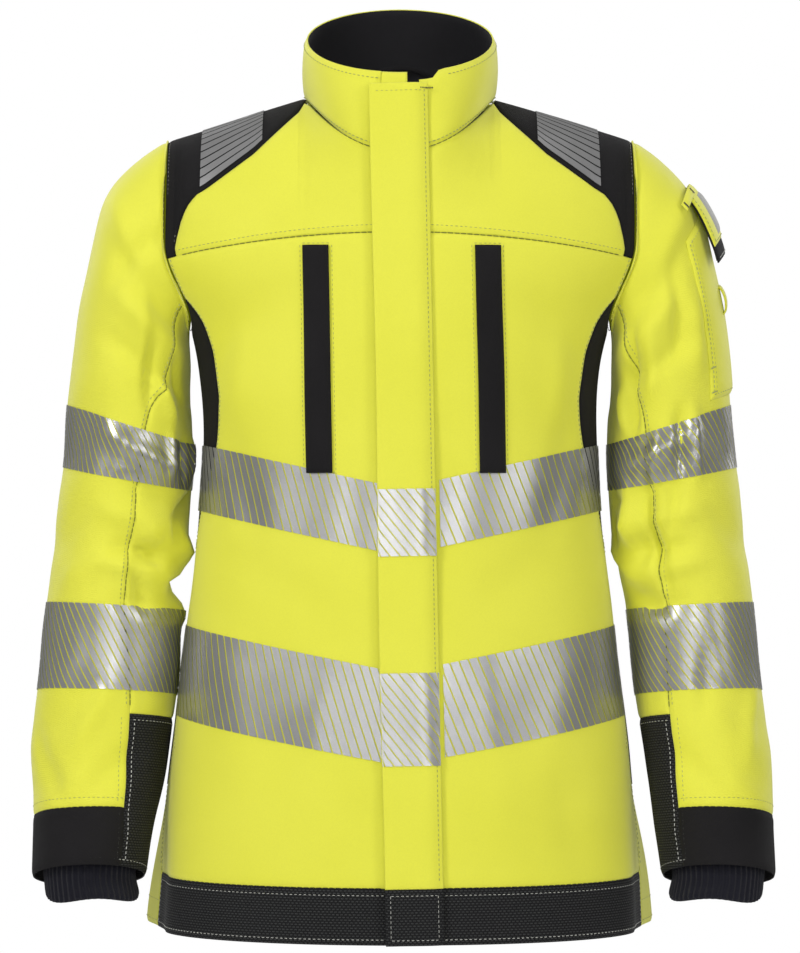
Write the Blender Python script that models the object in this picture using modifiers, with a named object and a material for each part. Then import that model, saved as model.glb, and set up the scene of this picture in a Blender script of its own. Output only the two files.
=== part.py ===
"""High-visibility work jacket, closed to the collar, hanging from its back-neck loop.

Metres, +Z up, the front faces -Y and the wearer's left arm is at +X. The garment is drafted up from
its hem and then dropped so that the hanger loop's bearing point is the world origin.
"""
import math

import bmesh
import bpy
from mathutils import Matrix, Vector

# ---------------------------------------------------------------- driving dimensions
HEM_HALF = 0.191            # half widths of the body, hem to chest
HIP_HALF = 0.184
HIP_Z = 0.100
WAIST_HALF = 0.1560
WAIST_Z = 0.355
ARMPIT_HALF = 0.164
ARMPIT_Z = 0.468
YOKE_LEVEL = 0.533          # where the body turns over towards the shoulders
SHOULDER_X = 0.182          # shoulder point: half width and height
SHOULDER_Z = 0.6165
NECK_HALF = 0.075
NECK_FRONT_Z = 0.602
NECK_BACK_Y = 0.063
RIDGE_SLOPE = 0.305         # fall of the shoulder line, per metre out from the neck
FRONT_Y_HEM = -0.130        # the centre front is one straight line, so the zip can run
FRONT_Y_COLLAR = -0.088
COLLAR_FRONT_Z = 0.663
COLLAR_BACK_Z = 0.727
COLLAR_BACK_Y = 0.048
BACK_DEPTHS = [(0.0, 0.122), (0.30, 0.110), (0.45, 0.121), (0.533, 0.116)]
SECTION_POWER = 2.4         # squareness of the body's cross-section, front to back
HEM_BAND = 0.0425
PLACKET_DRIFT = 0.0113      # how far the placket's centre sits off centre at the hem

YOKE_SEAM_Z = 0.540         # front yoke seam at the centre, and how far it drops at the armhole
YOKE_SEAM_DROP = 0.018
BACK_SEAM_Z = 0.528
PATCH_EDGE = [(0.078, 0.634), (0.113, 0.603), (0.155, 0.571), (0.166, 0.562), (0.170, 0.500)]
YOKE_COLUMNS = (0.095, 0.113, 0.135, 0.155)     # where the yokes and patches have their grid lines
SIDE_PANEL = [(0.29, 90.0), (0.335, 78.0), (0.375, 68.0), (0.415, 64.0), (0.45, 66.0), (0.507, 70.8)]
SIDE_PANEL_LOW = 0.305       # lower end of the black side panel
SIDE_PANEL_HIGH = 0.507
YOKE_STRIP = 0.166           # half width where the yokes end below the shoulder patches
BACK_STRIP = 0.1655
SHOULDER_TAPE = (31.0, 48.5)  # degrees from the centre
SHOULDER_TAPE_INSET = 0.004
POCKET_BAG = (0.062, 0.205)  # side pocket bag: lower and upper end

CHEST_TAPE = 0.051
CHEST_TAPE_Z = 0.319        # centre line at the centre front
CHEST_TAPE_RISE = 0.033     # rise from the centre front to the side
WAIST_TAPE = 0.070
WAIST_TAPE_Z = 0.170
WAIST_TAPE_RISE = 0.032

FABRIC = 0.0012
LINING = 0.0008
TAPE = 0.0006
SEAM_GAP = 0.0012           # between two panels that meet at a seam
CLEAR = 0.0003              # least gap between two pieces that lie on each other
ARMHOLE_CLEAR = 0.15        # the panels end this many degrees short of the armhole
NECK_CORNER = 0.94          # share of the neck's half width where the yokes' top edges leave the neck
PATCH_CLEAR = 0.0040        # the yokes turn their corner this far short of the shoulder patch
SLEEVE_HEAD_GAP = 0.0022    # the sleeve head stands this far out from the armhole's edge
TAPE_LIFT = 0.0011          # a tape or patch over the panel it is sewn to
LINING_DEPTH = 0.0056       # inner face of the lining below the panel's face

FLAP_WIDTH = 0.0445
FLAP_LIFT = 0.0040          # clear of the zip slider's pull
FLAP_TOP = 0.655
FLAP_HINGE_E = 0.0222       # hinge line, out from the placket's centre
PLACKET_HALF = 0.0138       # edge of the front panel, out from the placket's centre
ZIP_TAPE = 0.0100
ZIP_CHAIN = 0.0024
ZIP_TOP = 0.650
ZIP_BOTTOM = 0.012
ZIP_FACE = 0.0006           # front of the chain, out from the placket
PULL_CLEAR = 0.0008         # gap between the slider's pull and the storm flap

WELT_WIDTH = 0.020
WELT_E = 0.0656             # welt's centre, out from the placket's centre
WELT_LOW = 0.356
WELT_HIGH = 0.530
WELT_LIFT = 0.0042

# sleeve stations: over-arm point x, z, under-arm point x, z, half depth, middle y, forward tilt in degrees
SLEEVE_STATIONS = [
    (0.1830, 0.6165, 0.1645, 0.4680, 0.0560, 0.005, 0),
    (0.2130, 0.5960, 0.1672, 0.4520, 0.0580, 0.006, 0),
    (0.2350, 0.5630, 0.1672, 0.4360, 0.0620, 0.007, 0),
    (0.2490, 0.5030, 0.1662, 0.4120, 0.0630, 0.008, 0),
    (0.2585, 0.4400, 0.1645, 0.3960, 0.0620, 0.008, 0),
    (0.2635, 0.3850, 0.1635, 0.3600, 0.0600, 0.007, 0),
    (0.2700, 0.3200, 0.1670, 0.3100, 0.0580, 0.006, 0),
    (0.2770, 0.2620, 0.1770, 0.2560, 0.0560, 0.004, 3),
    (0.2840, 0.1900, 0.1850, 0.1860, 0.0540, -0.002, 6),
    (0.2900, 0.1330, 0.1915, 0.1330, 0.0500, -0.012, 10),
    (0.2915, 0.0850, 0.1985, 0.0870, 0.0470, -0.023, 14),
    (0.2920, 0.0420, 0.2040, 0.0440, 0.0440, -0.035, 17),
]
SLEEVE_END = len(SLEEVE_STATIONS) - 1
CUFF_START = 9.95
INSET_START = 8.4
KNIT_DEPTH = 0.0090         # the knit cuff's face inside the sleeve's
KNIT_START = 10.2
KNIT_END = 11.4
FRONT_SEAM = {-1: [(0.0, 137.0), (3.0, 130.0), (4.6, 108.0), (7.0, 104.0), (8.4, 116.0), (11.0, 129.0)],
              1: [(0.0, 137.0), (3.0, 130.0), (4.6, 117.0), (7.0, 118.0), (8.4, 125.0), (11.0, 134.0)]}
BACK_SEAM = 236.0
SLEEVE_SEAM = 0.8           # half the gap at a sleeve seam, degrees round the sleeve
UPPER_TAPE = (4.55, 5.38)
LOWER_TAPE = (7.115, 8.07)
LOOP_HALF = 0.028
LOOP_RISE = 0.024
LOOP_WIRE = 0.0016
LOOP_INSET = 0.0165         # the loop's middle stands this far in from the collar's base
LOOP_STANDOFF = 0.0050      # and its ends this much less

ARCH = 0.150                # length given to the turn from the yoke level to the shoulder ridge
RIDGE = YOKE_LEVEL + ARCH
YOKE_HALF = SHOULDER_X / 0.8835
NECK_OFFSET = 0.025         # rounds the ridge line off between the shoulders


# ---------------------------------------------------------------- the body's form
def smooth_through(keys, t):
    """Value at t of a smooth curve through (position, value) keys."""
    if t <= keys[0][0]:
        return keys[0][1]
    if t >= keys[-1][0]:
        return keys[-1][1]
    k = next(i for i in range(len(keys) - 1) if keys[i + 1][0] >= t)
    (t0, a), (t1, b) = keys[k], keys[k + 1]

    def slope(i):
        if i == 0 or i == len(keys) - 1:
            return (b - a) / (t1 - t0)
        return (keys[i + 1][1] - keys[i - 1][1]) / (keys[i + 1][0] - keys[i - 1][0])
    w = (t - t0) / (t1 - t0)
    span = t1 - t0
    return ((2 * w**3 - 3 * w**2 + 1) * a + (w**3 - 2 * w**2 + w) * span * slope(k)
            + (3 * w**2 - 2 * w**3) * b + (w**3 - w**2) * span * slope(k + 1))


def straight_through(keys, t):
    """Value at t of straight runs between (position, value) keys."""
    if t <= keys[0][0]:
        return keys[0][1]
    for (t0, a), (t1, b) in zip(keys, keys[1:]):
        if t <= t1:
            return a + (b - a) * (t - t0) / (t1 - t0)
    return keys[-1][1]


def smoothstep(t):
    t = min(max(t, 0.0), 1.0)
    return t * t * (3 - 2 * t)


def half_width(z):
    return smooth_through([(0.0, HEM_HALF), (HIP_Z, HIP_HALF), (WAIST_Z, WAIST_HALF),
                           (ARMPIT_Z, ARMPIT_HALF), (YOKE_LEVEL, YOKE_HALF)], z)


def front_line_y(z):
    return FRONT_Y_HEM + (FRONT_Y_COLLAR - FRONT_Y_HEM) * z / COLLAR_FRONT_Z


def placket_x(z):
    return PLACKET_DRIFT * (1 - z / NECK_FRONT_Z)


def ridge_z(x):
    top = SHOULDER_Z + RIDGE_SLOPE * math.hypot(SHOULDER_X, NECK_OFFSET)
    return top - RIDGE_SLOPE * math.hypot(x, NECK_OFFSET)


def section(phi):
    """Share of the half width and of the half depth at phi degrees round from the centre front."""
    return math.sin(math.radians(phi)), abs(math.cos(math.radians(phi))) ** (2 / SECTION_POWER)


def body_point(phi, g):
    """Body surface on the +X side. phi runs 0 (front) to 180 (back); g is the height up to the yoke
    level, then the length over the shoulder, past RIDGE on the back."""
    at_back = phi > 90 or g > RIDGE
    h = 2 * RIDGE - g if g > RIDGE else g
    across, deep = section(phi)
    if h <= YOKE_LEVEL:
        depth = smooth_through(BACK_DEPTHS, h) if at_back else -front_line_y(h)
        y = depth * deep
        return Vector((half_width(h) * across, y if at_back else -y, h))
    x = YOKE_HALF * across
    theta = (h - YOKE_LEVEL) / ARCH * math.pi / 2
    z = YOKE_LEVEL + (ridge_z(x) - YOKE_LEVEL) * math.sin(theta)
    turn = max(math.cos(theta), 0.0)
    if at_back:
        y = BACK_DEPTHS[-1][1] * deep * turn ** (0.6 + 0.3 * smoothstep(x / SHOULDER_X))
    else:
        y = front_line_y(z) * deep * turn ** (0.9 * smoothstep((x - 0.026) / 0.05))
    return Vector((x, y, z))


def arch_level(x, z):
    """g on the front of the shoulder arch where the surface at x reaches height z."""
    if z <= YOKE_LEVEL:
        return z
    share = min((z - YOKE_LEVEL) / (ridge_z(x) - YOKE_LEVEL), 1.0)
    return YOKE_LEVEL + ARCH * math.asin(share) / (math.pi / 2)


def neck_level_front(phi):
    x = min(YOKE_HALF * section(phi)[0], NECK_HALF)
    cos_sq = 1 - (x / NECK_HALF) ** 2
    return arch_level(x, ridge_z(x) - (ridge_z(0.0) - NECK_FRONT_Z) * cos_sq)


def neck_level_back(phi):
    across, deep = section(phi)
    x = min(YOKE_HALF * abs(across), NECK_HALF)
    y = NECK_BACK_Y * math.sqrt(max(1 - (x / NECK_HALF) ** 2, 0.0))
    power = 0.6 + 0.3 * smoothstep(x / SHOULDER_X)
    turn = min((y / (BACK_DEPTHS[-1][1] * deep)) ** (1 / power), 1.0)
    return 2 * RIDGE - (YOKE_LEVEL + ARCH * math.acos(turn) / (math.pi / 2))


ARMHOLE_SHARE = section(math.degrees(math.asin(SHOULDER_X / YOKE_HALF)))[1]


def armhole_phi(h):
    """Edge of the armhole, degrees from the centre (front or back alike), at level h."""
    if h >= YOKE_LEVEL:
        return math.degrees(math.asin(SHOULDER_X / YOKE_HALF))
    rise = min((YOKE_LEVEL - h) / (YOKE_LEVEL - ARMPIT_Z), 1.0)
    deep = ARMHOLE_SHARE * math.sqrt(max(1 - rise * rise, 0.0))
    return math.degrees(math.acos(deep ** (SECTION_POWER / 2)))


def armhole_level(phi):
    """Height of the armhole's lower edge at phi."""
    deep = min(section(phi)[1] / ARMHOLE_SHARE, 1.0)
    return YOKE_LEVEL - (YOKE_LEVEL - ARMPIT_Z) * math.sqrt(1 - deep * deep)


def armhole_point(alpha):
    """Armhole edge on the +X side; alpha 0 is the shoulder point, 90 the front, 180 the armpit."""
    up = math.cos(math.radians(alpha))
    out = math.sin(math.radians(alpha))
    if up >= 0:
        g = YOKE_LEVEL + ARCH * math.asin(up) / (math.pi / 2)
        return body_point(armhole_phi(YOKE_LEVEL), g if out >= 0 else 2 * RIDGE - g)
    h = YOKE_LEVEL + (YOKE_LEVEL - ARMPIT_Z) * up
    phi = armhole_phi(h)
    return body_point(phi if out >= 0 else 180 - phi, h)


# ---------------------------------------------------------------- the sleeve's form
def sleeve_values(s):
    return [smooth_through([(i, row[k]) for i, row in enumerate(SLEEVE_STATIONS)], min(s, SLEEVE_END))
            for k in range(7)]


def sleeve_ring(alpha, s, shrink=0.0):
    over_x, over_z, under_x, under_z, depth, mid_y, tilt = sleeve_values(s)
    middle = Vector(((over_x + under_x) / 2, mid_y, (over_z + under_z) / 2))
    across = Vector((over_x - under_x, 0, over_z - under_z)) / 2
    across *= (across.length - shrink) / across.length
    lean = math.radians(tilt)
    forward = Vector((0, -math.cos(lean), math.sin(lean))) * (depth - shrink)
    if s > SLEEVE_END:
        before = Vector(sleeve_ring_middle(SLEEVE_END - 0.5))
        after = Vector(sleeve_ring_middle(SLEEVE_END))
        middle += (after - before) * 2 * (s - SLEEVE_END)
    a = math.radians(alpha)
    return middle + across * math.cos(a) + forward * math.sin(a)


def sleeve_ring_middle(s):
    over_x, over_z, under_x, under_z, _, mid_y, _ = sleeve_values(s)
    return ((over_x + under_x) / 2, mid_y, (over_z + under_z) / 2)


def sleeve_point(alpha, s):
    """Sleeve surface on the +X side; alpha 0 is the over-arm line, 90 the front, 180 the under-arm."""
    ring = sleeve_ring(alpha, s)
    if s >= 1.5:
        return ring
    edge = armhole_point((alpha + 180) % 360 - 180) + Vector((SLEEVE_HEAD_GAP, 0, 0))
    return edge.lerp(ring, smoothstep(s / 1.5))


def collar_point(psi, t):
    """Collar surface on the +X side; psi runs 0 (front) to 180 (back), t from the neck seam up."""
    across = math.sin(math.radians(psi))
    along = math.cos(math.radians(psi))
    phi = math.degrees(math.asin(min(NECK_HALF * across / YOKE_HALF, 1.0)))
    base = body_point(phi, neck_level_front(phi) if psi <= 90 else neck_level_back(phi))
    mid_y = (FRONT_Y_COLLAR + COLLAR_BACK_Y) / 2
    mid_z = (COLLAR_FRONT_Z + COLLAR_BACK_Z) / 2
    top = Vector((NECK_HALF * across, mid_y + (FRONT_Y_COLLAR - mid_y) * along,
                  mid_z + (COLLAR_FRONT_Z - mid_z) * along))
    return base.lerp(top, t)


# ---------------------------------------------------------------- scene helpers
for old in list(bpy.data.objects):
    bpy.data.objects.remove(old, do_unlink=True)

jacket = bpy.data.collections.new("work_jacket")
bpy.context.scene.collection.children.link(jacket)


def material(name, colour, roughness, metallic=0.0):
    made = bpy.data.materials.new(name)
    made.use_nodes = True
    shader = made.node_tree.nodes["Principled BSDF"]
    shader.inputs["Base Color"].default_value = (*colour, 1)
    shader.inputs["Roughness"].default_value = roughness
    shader.inputs["Metallic"].default_value = metallic
    return made


YELLOW = material("hi_vis_fabric", (0.78, 0.75, 0.07), 0.8)
BLACK = material("black_fabric", (0.02, 0.019, 0.02), 0.85)
RIPSTOP = material("black_ripstop", (0.025, 0.025, 0.027), 0.8)
KNIT = material("knit_rib", (0.016, 0.016, 0.024), 0.9)
LINING_CLOTH = material("black_lining", (0.01, 0.009, 0.012), 0.7)
REFLECTIVE = material("reflective_tape", (0.45, 0.45, 0.43), 0.35, 0.3)
ZIP_METAL = material("zip_metal", (0.18, 0.18, 0.19), 0.4, 0.9)


def loop_point():
    back = collar_point(180, 0)
    return Vector((0, back.y - LOOP_INSET, back.z + LOOP_RISE - LOOP_WIRE))


garment = bpy.data.objects.new("garment", None)
garment.location = -loop_point()
jacket.objects.link(garment)


def pivot(name, place, parent=garment):
    """An empty on a joint's axis, given in drafting coordinates."""
    empty = bpy.data.objects.new(name, None)
    empty.location = place - drafting_place(parent)
    empty.parent = parent
    jacket.objects.link(empty)
    return empty


def drafting_place(empty):
    place = Vector((0, 0, 0))
    while empty is not None and empty is not garment:
        place += empty.location
        empty = empty.parent
    return place


def add(name, bm, surface_material, parent=garment):
    """Turn a bmesh drawn in drafting coordinates into an object under its pivot."""
    bmesh.ops.translate(bm, verts=bm.verts, vec=-drafting_place(parent))
    mesh = bpy.data.meshes.new(name)
    bm.to_mesh(mesh)
    bm.free()
    mesh.materials.append(surface_material)
    made = bpy.data.objects.new(name, mesh)
    made.parent = parent
    jacket.objects.link(made)
    return made


def outward(surface, u, v, step):
    """Unit normal of a surface, by differences."""
    du = surface(u + step[0], v) - surface(u - step[0], v)
    dv = surface(u, v + step[1]) - surface(u, v - step[1])
    return du.cross(dv).normalized()


def cloth(name, surface, places, face, thickness, surface_material, side=1, parent=garment,
          step=(0.5, 0.001)):
    """A panel of cloth: a grid laid on surface(u, v), its face this far out, thickened inwards."""
    rows = len(places)
    columns = len(places[0])
    bm = bmesh.new()
    bmesh.ops.create_grid(bm, x_segments=columns - 1, y_segments=rows - 1, size=1.0)
    for vert in bm.verts:
        i = round((vert.co.x + 1) / 2 * (columns - 1))
        j = round((vert.co.y + 1) / 2 * (rows - 1))
        u, v = places[j][i]
        point = surface(u, v) + outward(surface, u, v, step) * face
        vert.co = Vector((side * point.x, point.y, point.z))
    bm.normal_update()
    if side < 0:
        bmesh.ops.reverse_faces(bm, faces=bm.faces)
    for facet in bm.faces:
        facet.smooth = True
    made = add(name, bm, surface_material, parent)
    solid = made.modifiers.new("thickness", "SOLIDIFY")
    solid.thickness = thickness
    solid.offset = -1
    return made


def spaced(low, high, count):
    return [low + (high - low) * i / count for i in range(count + 1)]


def region(left, right, bottom, top, columns, rows):
    """Places (u, v) of a patch whose left and right edges depend on v, bottom and top on u."""
    places = []
    for share_v in rows:
        line = []
        for share_u in columns:
            u = left(0.3) + (right(0.3) - left(0.3)) * share_u
            for _ in range(12):
                v = bottom(u) + (top(u) - bottom(u)) * share_v
                u = left(v) + (right(v) - left(v)) * share_u
            line.append((u, v))
        places.append(line)
    return places


def degrees_for(length, z):
    """Turn round the body, in degrees, that covers this length near the side."""
    return math.degrees(length / half_width(min(z, ARMPIT_Z)))


def body_level(g):
    return 2 * RIDGE - g if g > RIDGE else g


def placket_phi(side, reach):
    """Body angle, on one side, of a line this far out from the placket's centre."""
    def at(g):
        h = body_level(g)
        z = body_point(5, h).z
        x = side * placket_x(z) + reach
        return math.degrees(math.asin(x / half_width(min(h, YOKE_LEVEL))))
    return at


GAP = SEAM_GAP / 2


# ---------------------------------------------------------------- body panels
def side_edge(v):
    """Front or back edge of the black side panel, degrees from the centre."""
    return straight_through(SIDE_PANEL, v)


def front_seam_level(phi):
    x = YOKE_HALF * section(phi)[0]
    return arch_level(x, YOKE_SEAM_Z - YOKE_SEAM_DROP * (x / SHOULDER_X) ** 2)


def patch_level(phi):
    """Lower edge of the shoulder patch in front: the drawn edge, ending on the yoke seam."""
    x = YOKE_HALF * section(phi)[0]
    return max(arch_level(x, straight_through(PATCH_EDGE, x)), front_seam_level(phi))


def patch_level_back(phi):
    """The same edge on the back of the shoulder, as g past the ridge."""
    x = YOKE_HALF * section(phi)[0]
    return 2 * RIDGE - max(arch_level(x, straight_through(PATCH_EDGE, x)), BACK_SEAM_Z)


SIDE_LEVELS = [HEM_BAND, POCKET_BAG[0], 0.10, 0.13, 0.16, POCKET_BAG[1], 0.245, 0.29, 0.335, 0.375, 0.415,
               0.45, 0.475, 0.493, SIDE_PANEL_HIGH, 0.5225]
SIDE_ROWS = [(h - SIDE_LEVELS[0]) / (SIDE_LEVELS[-1] - SIDE_LEVELS[0]) for h in SIDE_LEVELS]


def panel_edge(v):
    """Outer edge of a front or back panel: side seam, side panel, then armhole."""
    return min(side_edge(v), armhole_phi(v)) - degrees_for(GAP, v)


def front_panels(side, tag):
    inner = placket_phi(side, PLACKET_HALF)
    columns = spaced(0, 1, 10)
    cloth(f"front_panel_{tag}", body_point,
          region(inner, panel_edge, lambda u: HEM_BAND + GAP, lambda u: front_seam_level(u) - GAP,
                 columns, SIDE_ROWS), 0.0, FABRIC, YELLOW, side)
    cloth(f"hem_band_{tag}", body_point,
          region(inner, lambda v: 90 - degrees_for(GAP, v), lambda u: 0.0, lambda u: HEM_BAND - GAP,
                 columns, [0, 1]), 0.0, FABRIC, RIPSTOP, side)

    strip_phi = math.degrees(math.asin(YOKE_STRIP / YOKE_HALF)) - ARMHOLE_CLEAR
    corner_phi = math.degrees(math.asin(NECK_HALF * NECK_CORNER / YOKE_HALF))
    patch_phi = math.degrees(math.asin((PATCH_EDGE[0][0] - PATCH_CLEAR) / YOKE_HALF))

    def yoke_top(phi):
        if phi <= corner_phi:
            return neck_level_front(phi) - SEAM_GAP
        if phi >= patch_phi:
            return patch_level(phi) - GAP
        share = (phi - corner_phi) / (patch_phi - corner_phi)
        low = neck_level_front(corner_phi) - SEAM_GAP
        return low + (patch_level(patch_phi) - GAP - low) * share
    inside = inner(YOKE_SEAM_Z)
    marks = [inside, 10, 14.5, 18.5, corner_phi, patch_phi]
    marks += [math.degrees(math.asin(x / YOKE_HALF)) for x in YOKE_COLUMNS]
    marks.append(strip_phi)
    yoke_columns = [(m - marks[0]) / (marks[-1] - marks[0]) for m in marks]
    cloth(f"front_yoke_{tag}", body_point,
          region(inner, lambda v: strip_phi, lambda u: front_seam_level(u) + GAP, yoke_top,
                 yoke_columns, spaced(0, 1, 5)), 0.0, FABRIC, YELLOW, side)


def patch_columns():
    corners = [x for x, _ in PATCH_EDGE]
    marks = [math.degrees(math.asin(x / YOKE_HALF)) for x in sorted(set(corners) | set(YOKE_COLUMNS))]
    marks.append(armhole_phi(YOKE_LEVEL) - ARMHOLE_CLEAR)
    return [(m - marks[0]) / (marks[-1] - marks[0]) for m in marks]


def shoulder_patch(side, tag):
    inner_phi = math.degrees(math.asin(PATCH_EDGE[0][0] / YOKE_HALF))

    def outer(v):
        return armhole_phi(body_level(v)) - ARMHOLE_CLEAR

    def low(u):
        return patch_level(u) + GAP

    def high(u):
        return patch_level_back(u) - GAP
    cloth(f"shoulder_patch_{tag}", body_point,
          region(lambda v: inner_phi, outer, low, high, patch_columns(), spaced(0, 1, 10)),
          0.0, FABRIC, BLACK, side)
    cloth(f"shoulder_tape_{tag}", body_point,
          region(lambda v: SHOULDER_TAPE[0], lambda v: SHOULDER_TAPE[1],
                 lambda u: patch_level(u) + SHOULDER_TAPE_INSET,
                 lambda u: patch_level_back(u) - SHOULDER_TAPE_INSET, spaced(0, 1, 5), spaced(0, 1, 10)),
          TAPE_LIFT + TAPE, TAPE, REFLECTIVE, side)


def mirror_u(surface):
    """The surface over both halves of the body: u runs through 180 at the centre back."""
    def whole(u, v):
        if u <= 180:
            return surface(u, v)
        point = surface(360 - u, v)
        return Vector((-point.x, point.y, point.z))
    return whole


def back_panels():
    def left(v):
        return 180 - panel_edge(v)

    def right(v):
        return 180 + panel_edge(v)
    cloth("back_panel", mirror_u(body_point),
          region(left, right, lambda u: 0.0, lambda u: BACK_SEAM_Z - GAP, spaced(0, 1, 24),
                 [0.0] + [h / BACK_SEAM_Z for h in SIDE_LEVELS[:-1]] + [1.0]), 0.0, FABRIC, YELLOW)

    corner = math.degrees(math.asin(NECK_HALF * NECK_CORNER / YOKE_HALF))
    patch_in = math.degrees(math.asin((PATCH_EDGE[0][0] - PATCH_CLEAR) / YOKE_HALF))

    def arch_point(u, v):
        """Back of the arch, u in degrees from the centre back, negative on the -X side."""
        point = body_point(abs(u), v)
        return Vector((-point.x if u < 0 else point.x, point.y, point.z))

    def yoke_top(u):
        phi = abs(u)
        if phi <= corner:
            return neck_level_back(phi) + SEAM_GAP
        if phi >= patch_in:
            return patch_level_back(phi) + GAP
        share = (phi - corner) / (patch_in - corner)
        low = neck_level_back(corner) + SEAM_GAP
        return low + (patch_level_back(patch_in) + GAP - low) * share
    edge = math.degrees(math.asin(BACK_STRIP / YOKE_HALF))
    half = [0, 7, 13, 18, corner, patch_in]
    half += [math.degrees(math.asin(x / YOKE_HALF)) for x in YOKE_COLUMNS]
    half.append(edge)
    marks = [-m for m in reversed(half[1:])] + half
    columns = [(m + edge) / (2 * edge) for m in marks]
    cloth("back_yoke", arch_point,
          region(lambda v: -edge, lambda v: edge, yoke_top,
                 lambda u: 2 * RIDGE - BACK_SEAM_Z - SEAM_GAP, columns, spaced(0, 1, 5)),
          0.0, FABRIC, YELLOW)


def side_panel(side, tag):
    def left(v):
        return side_edge(v) + degrees_for(SEAM_GAP, v)
    tall = SIDE_PANEL_HIGH - SIDE_PANEL_LOW
    rows = [0] + [(h - SIDE_PANEL_LOW) / tall for h in SIDE_LEVELS if SIDE_PANEL_LOW < h <= SIDE_PANEL_HIGH]
    cloth(f"side_panel_{tag}", body_point,
          region(left, lambda v: 180 - left(v), lambda u: SIDE_PANEL_LOW, lambda u: armhole_level(u) - GAP,
                 spaced(0, 1, 4), rows), 0.0, FABRIC, BLACK, side)


def lining():
    """Lining in two fronts and a back, joined in life at the sides and shoulders."""
    face = -(LINING_DEPTH - LINING)

    def edge(v):
        h = body_level(v)
        return 90 - 0.3 if h < ARMPIT_Z else armhole_phi(h) - 1.0

    def front_top(u):
        x = YOKE_HALF * section(u)[0]
        return neck_level_front(u) - 0.004 if x < NECK_HALF + 0.004 else RIDGE - SEAM_GAP
    rows = spaced(0, 0.52, 9) + [0.565, 0.61, 0.68, 0.74, 0.77, 0.8, 0.83, 0.86, 0.89, 0.92, 0.96, 1]
    for side, tag in SIDES:
        inner = placket_phi(side, PLACKET_HALF + 0.0015)
        cloth(f"lining_front_{tag}", body_point,
              region(inner, edge, lambda u: 0.018, front_top, spaced(0, 1, 15), rows),
              face, LINING, LINING_CLOTH, side)

    def arch_point(u, v):
        point = body_point(180 - abs(u), min(v, RIDGE))
        return Vector((point.x if u < 0 else -point.x, point.y, point.z))

    def back_top(u):
        phi = abs(u)
        x = YOKE_HALF * section(phi)[0]
        level = 2 * RIDGE - neck_level_back(phi) - 0.004
        return level if x < NECK_HALF + 0.004 else RIDGE - SEAM_GAP
    cloth("lining_back", arch_point,
          region(lambda v: -edge(v), edge, lambda u: 0.018, back_top, spaced(0, 1, 24), rows),
          face, LINING, LINING_CLOTH)


# ---------------------------------------------------------------- body tapes
def tape_ring(name, base, rise, width):
    """A reflective band in three pieces: two fronts that rise to the side, and the back."""
    def centre(u):
        phi = u if u <= 180 else 360 - u
        return base + rise * min(section(min(phi, 90))[0] / 0.98, 1.0)

    def low(u):
        return centre(u) - width / 2

    def high(u):
        return centre(u) + width / 2
    for side, tag in SIDES:
        reach = PLACKET_HALF if side < 0 else FLAP_HINGE_E + 0.003
        cloth(f"{name}_front_{tag}", body_point,
              region(placket_phi(side, reach), lambda v: 90 - 0.3, low, high, spaced(0, 1, 12),
                     spaced(0, 1, 4)), TAPE_LIFT + TAPE, TAPE, REFLECTIVE, side)
    cloth(f"{name}_back", mirror_u(body_point),
          region(lambda v: 90.3, lambda v: 269.7, low, high, spaced(0, 1, 24), spaced(0, 1, 4)),
          TAPE_LIFT + TAPE, TAPE, REFLECTIVE)


# ---------------------------------------------------------------- collar
def collar():
    def placket_edge(side, reach):
        """Angle round the neck, from the middle in front, of the placket's edge."""
        return math.degrees(math.asin((side * placket_x(NECK_FRONT_Z) + reach) / NECK_HALF))
    for name, face, cloth_thickness, reach, low, high, look in (
            ("collar_outer", 0.0, FABRIC, PLACKET_HALF + 0.001, 0.03, 1.0, YELLOW),
            ("collar_lining", -0.0021, LINING, PLACKET_HALF + 0.0015, 0.05, 0.99, LINING_CLOTH)):
        start = placket_edge(1, reach)
        end = 360 - placket_edge(-1, reach)
        cloth(name, mirror_u(collar_point),
              region(lambda v: start, lambda v: end, lambda u: low, lambda u: high, spaced(0, 1, 26),
                     spaced(0, 1, 3)), face, cloth_thickness, look, step=(0.5, 0.01))


# ---------------------------------------------------------------- straight pieces on the placket
PLACKET_LOW = Vector((placket_x(0.0), front_line_y(0.0), 0.0))
PLACKET_HIGH = Vector((placket_x(COLLAR_FRONT_Z), front_line_y(COLLAR_FRONT_Z), COLLAR_FRONT_Z))
PLACKET_AXIS = (PLACKET_HIGH - PLACKET_LOW).normalized()


def frame_between(low, high, facing):
    """Matrix whose Z runs from low to high, Y points away from facing, X to the wearer's left."""
    up = (high - low).normalized()
    back = (-facing - up * up.dot(-facing)).normalized()
    left = back.cross(up)
    return Matrix((left, back, up)).transposed()


def bar(frame, start, x_span, out_span, z_span, rounding=0.0):
    """A rectangular bar in a strip's frame: x across, out from the surface, z along."""
    bm = bmesh.new()
    bmesh.ops.create_cube(bm, size=1.0)
    size = Vector((x_span[1] - x_span[0], out_span[1] - out_span[0], z_span[1] - z_span[0]))
    middle = Vector((sum(x_span) / 2, -sum(out_span) / 2, sum(z_span) / 2))
    bmesh.ops.scale(bm, vec=size, verts=bm.verts)
    if rounding:
        bmesh.ops.bevel(bm, geom=bm.edges[:], offset=rounding, segments=1, affect="EDGES")
    bmesh.ops.translate(bm, vec=middle, verts=bm.verts)
    bmesh.ops.transform(bm, matrix=Matrix.Translation(start) @ frame.to_4x4(), verts=bm.verts)
    return bm


PLACKET_FRAME = frame_between(PLACKET_LOW, PLACKET_HIGH, Vector((0, -1, 0)))


def on_placket(across, out, along):
    return PLACKET_LOW + PLACKET_FRAME @ Vector((across, -out, along))


def placket_bar(name, x_span, out_span, z_span, look, parent=garment, rounding=0.0):
    return add(name, bar(PLACKET_FRAME, PLACKET_LOW, x_span, out_span, z_span, rounding), look, parent)


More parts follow.
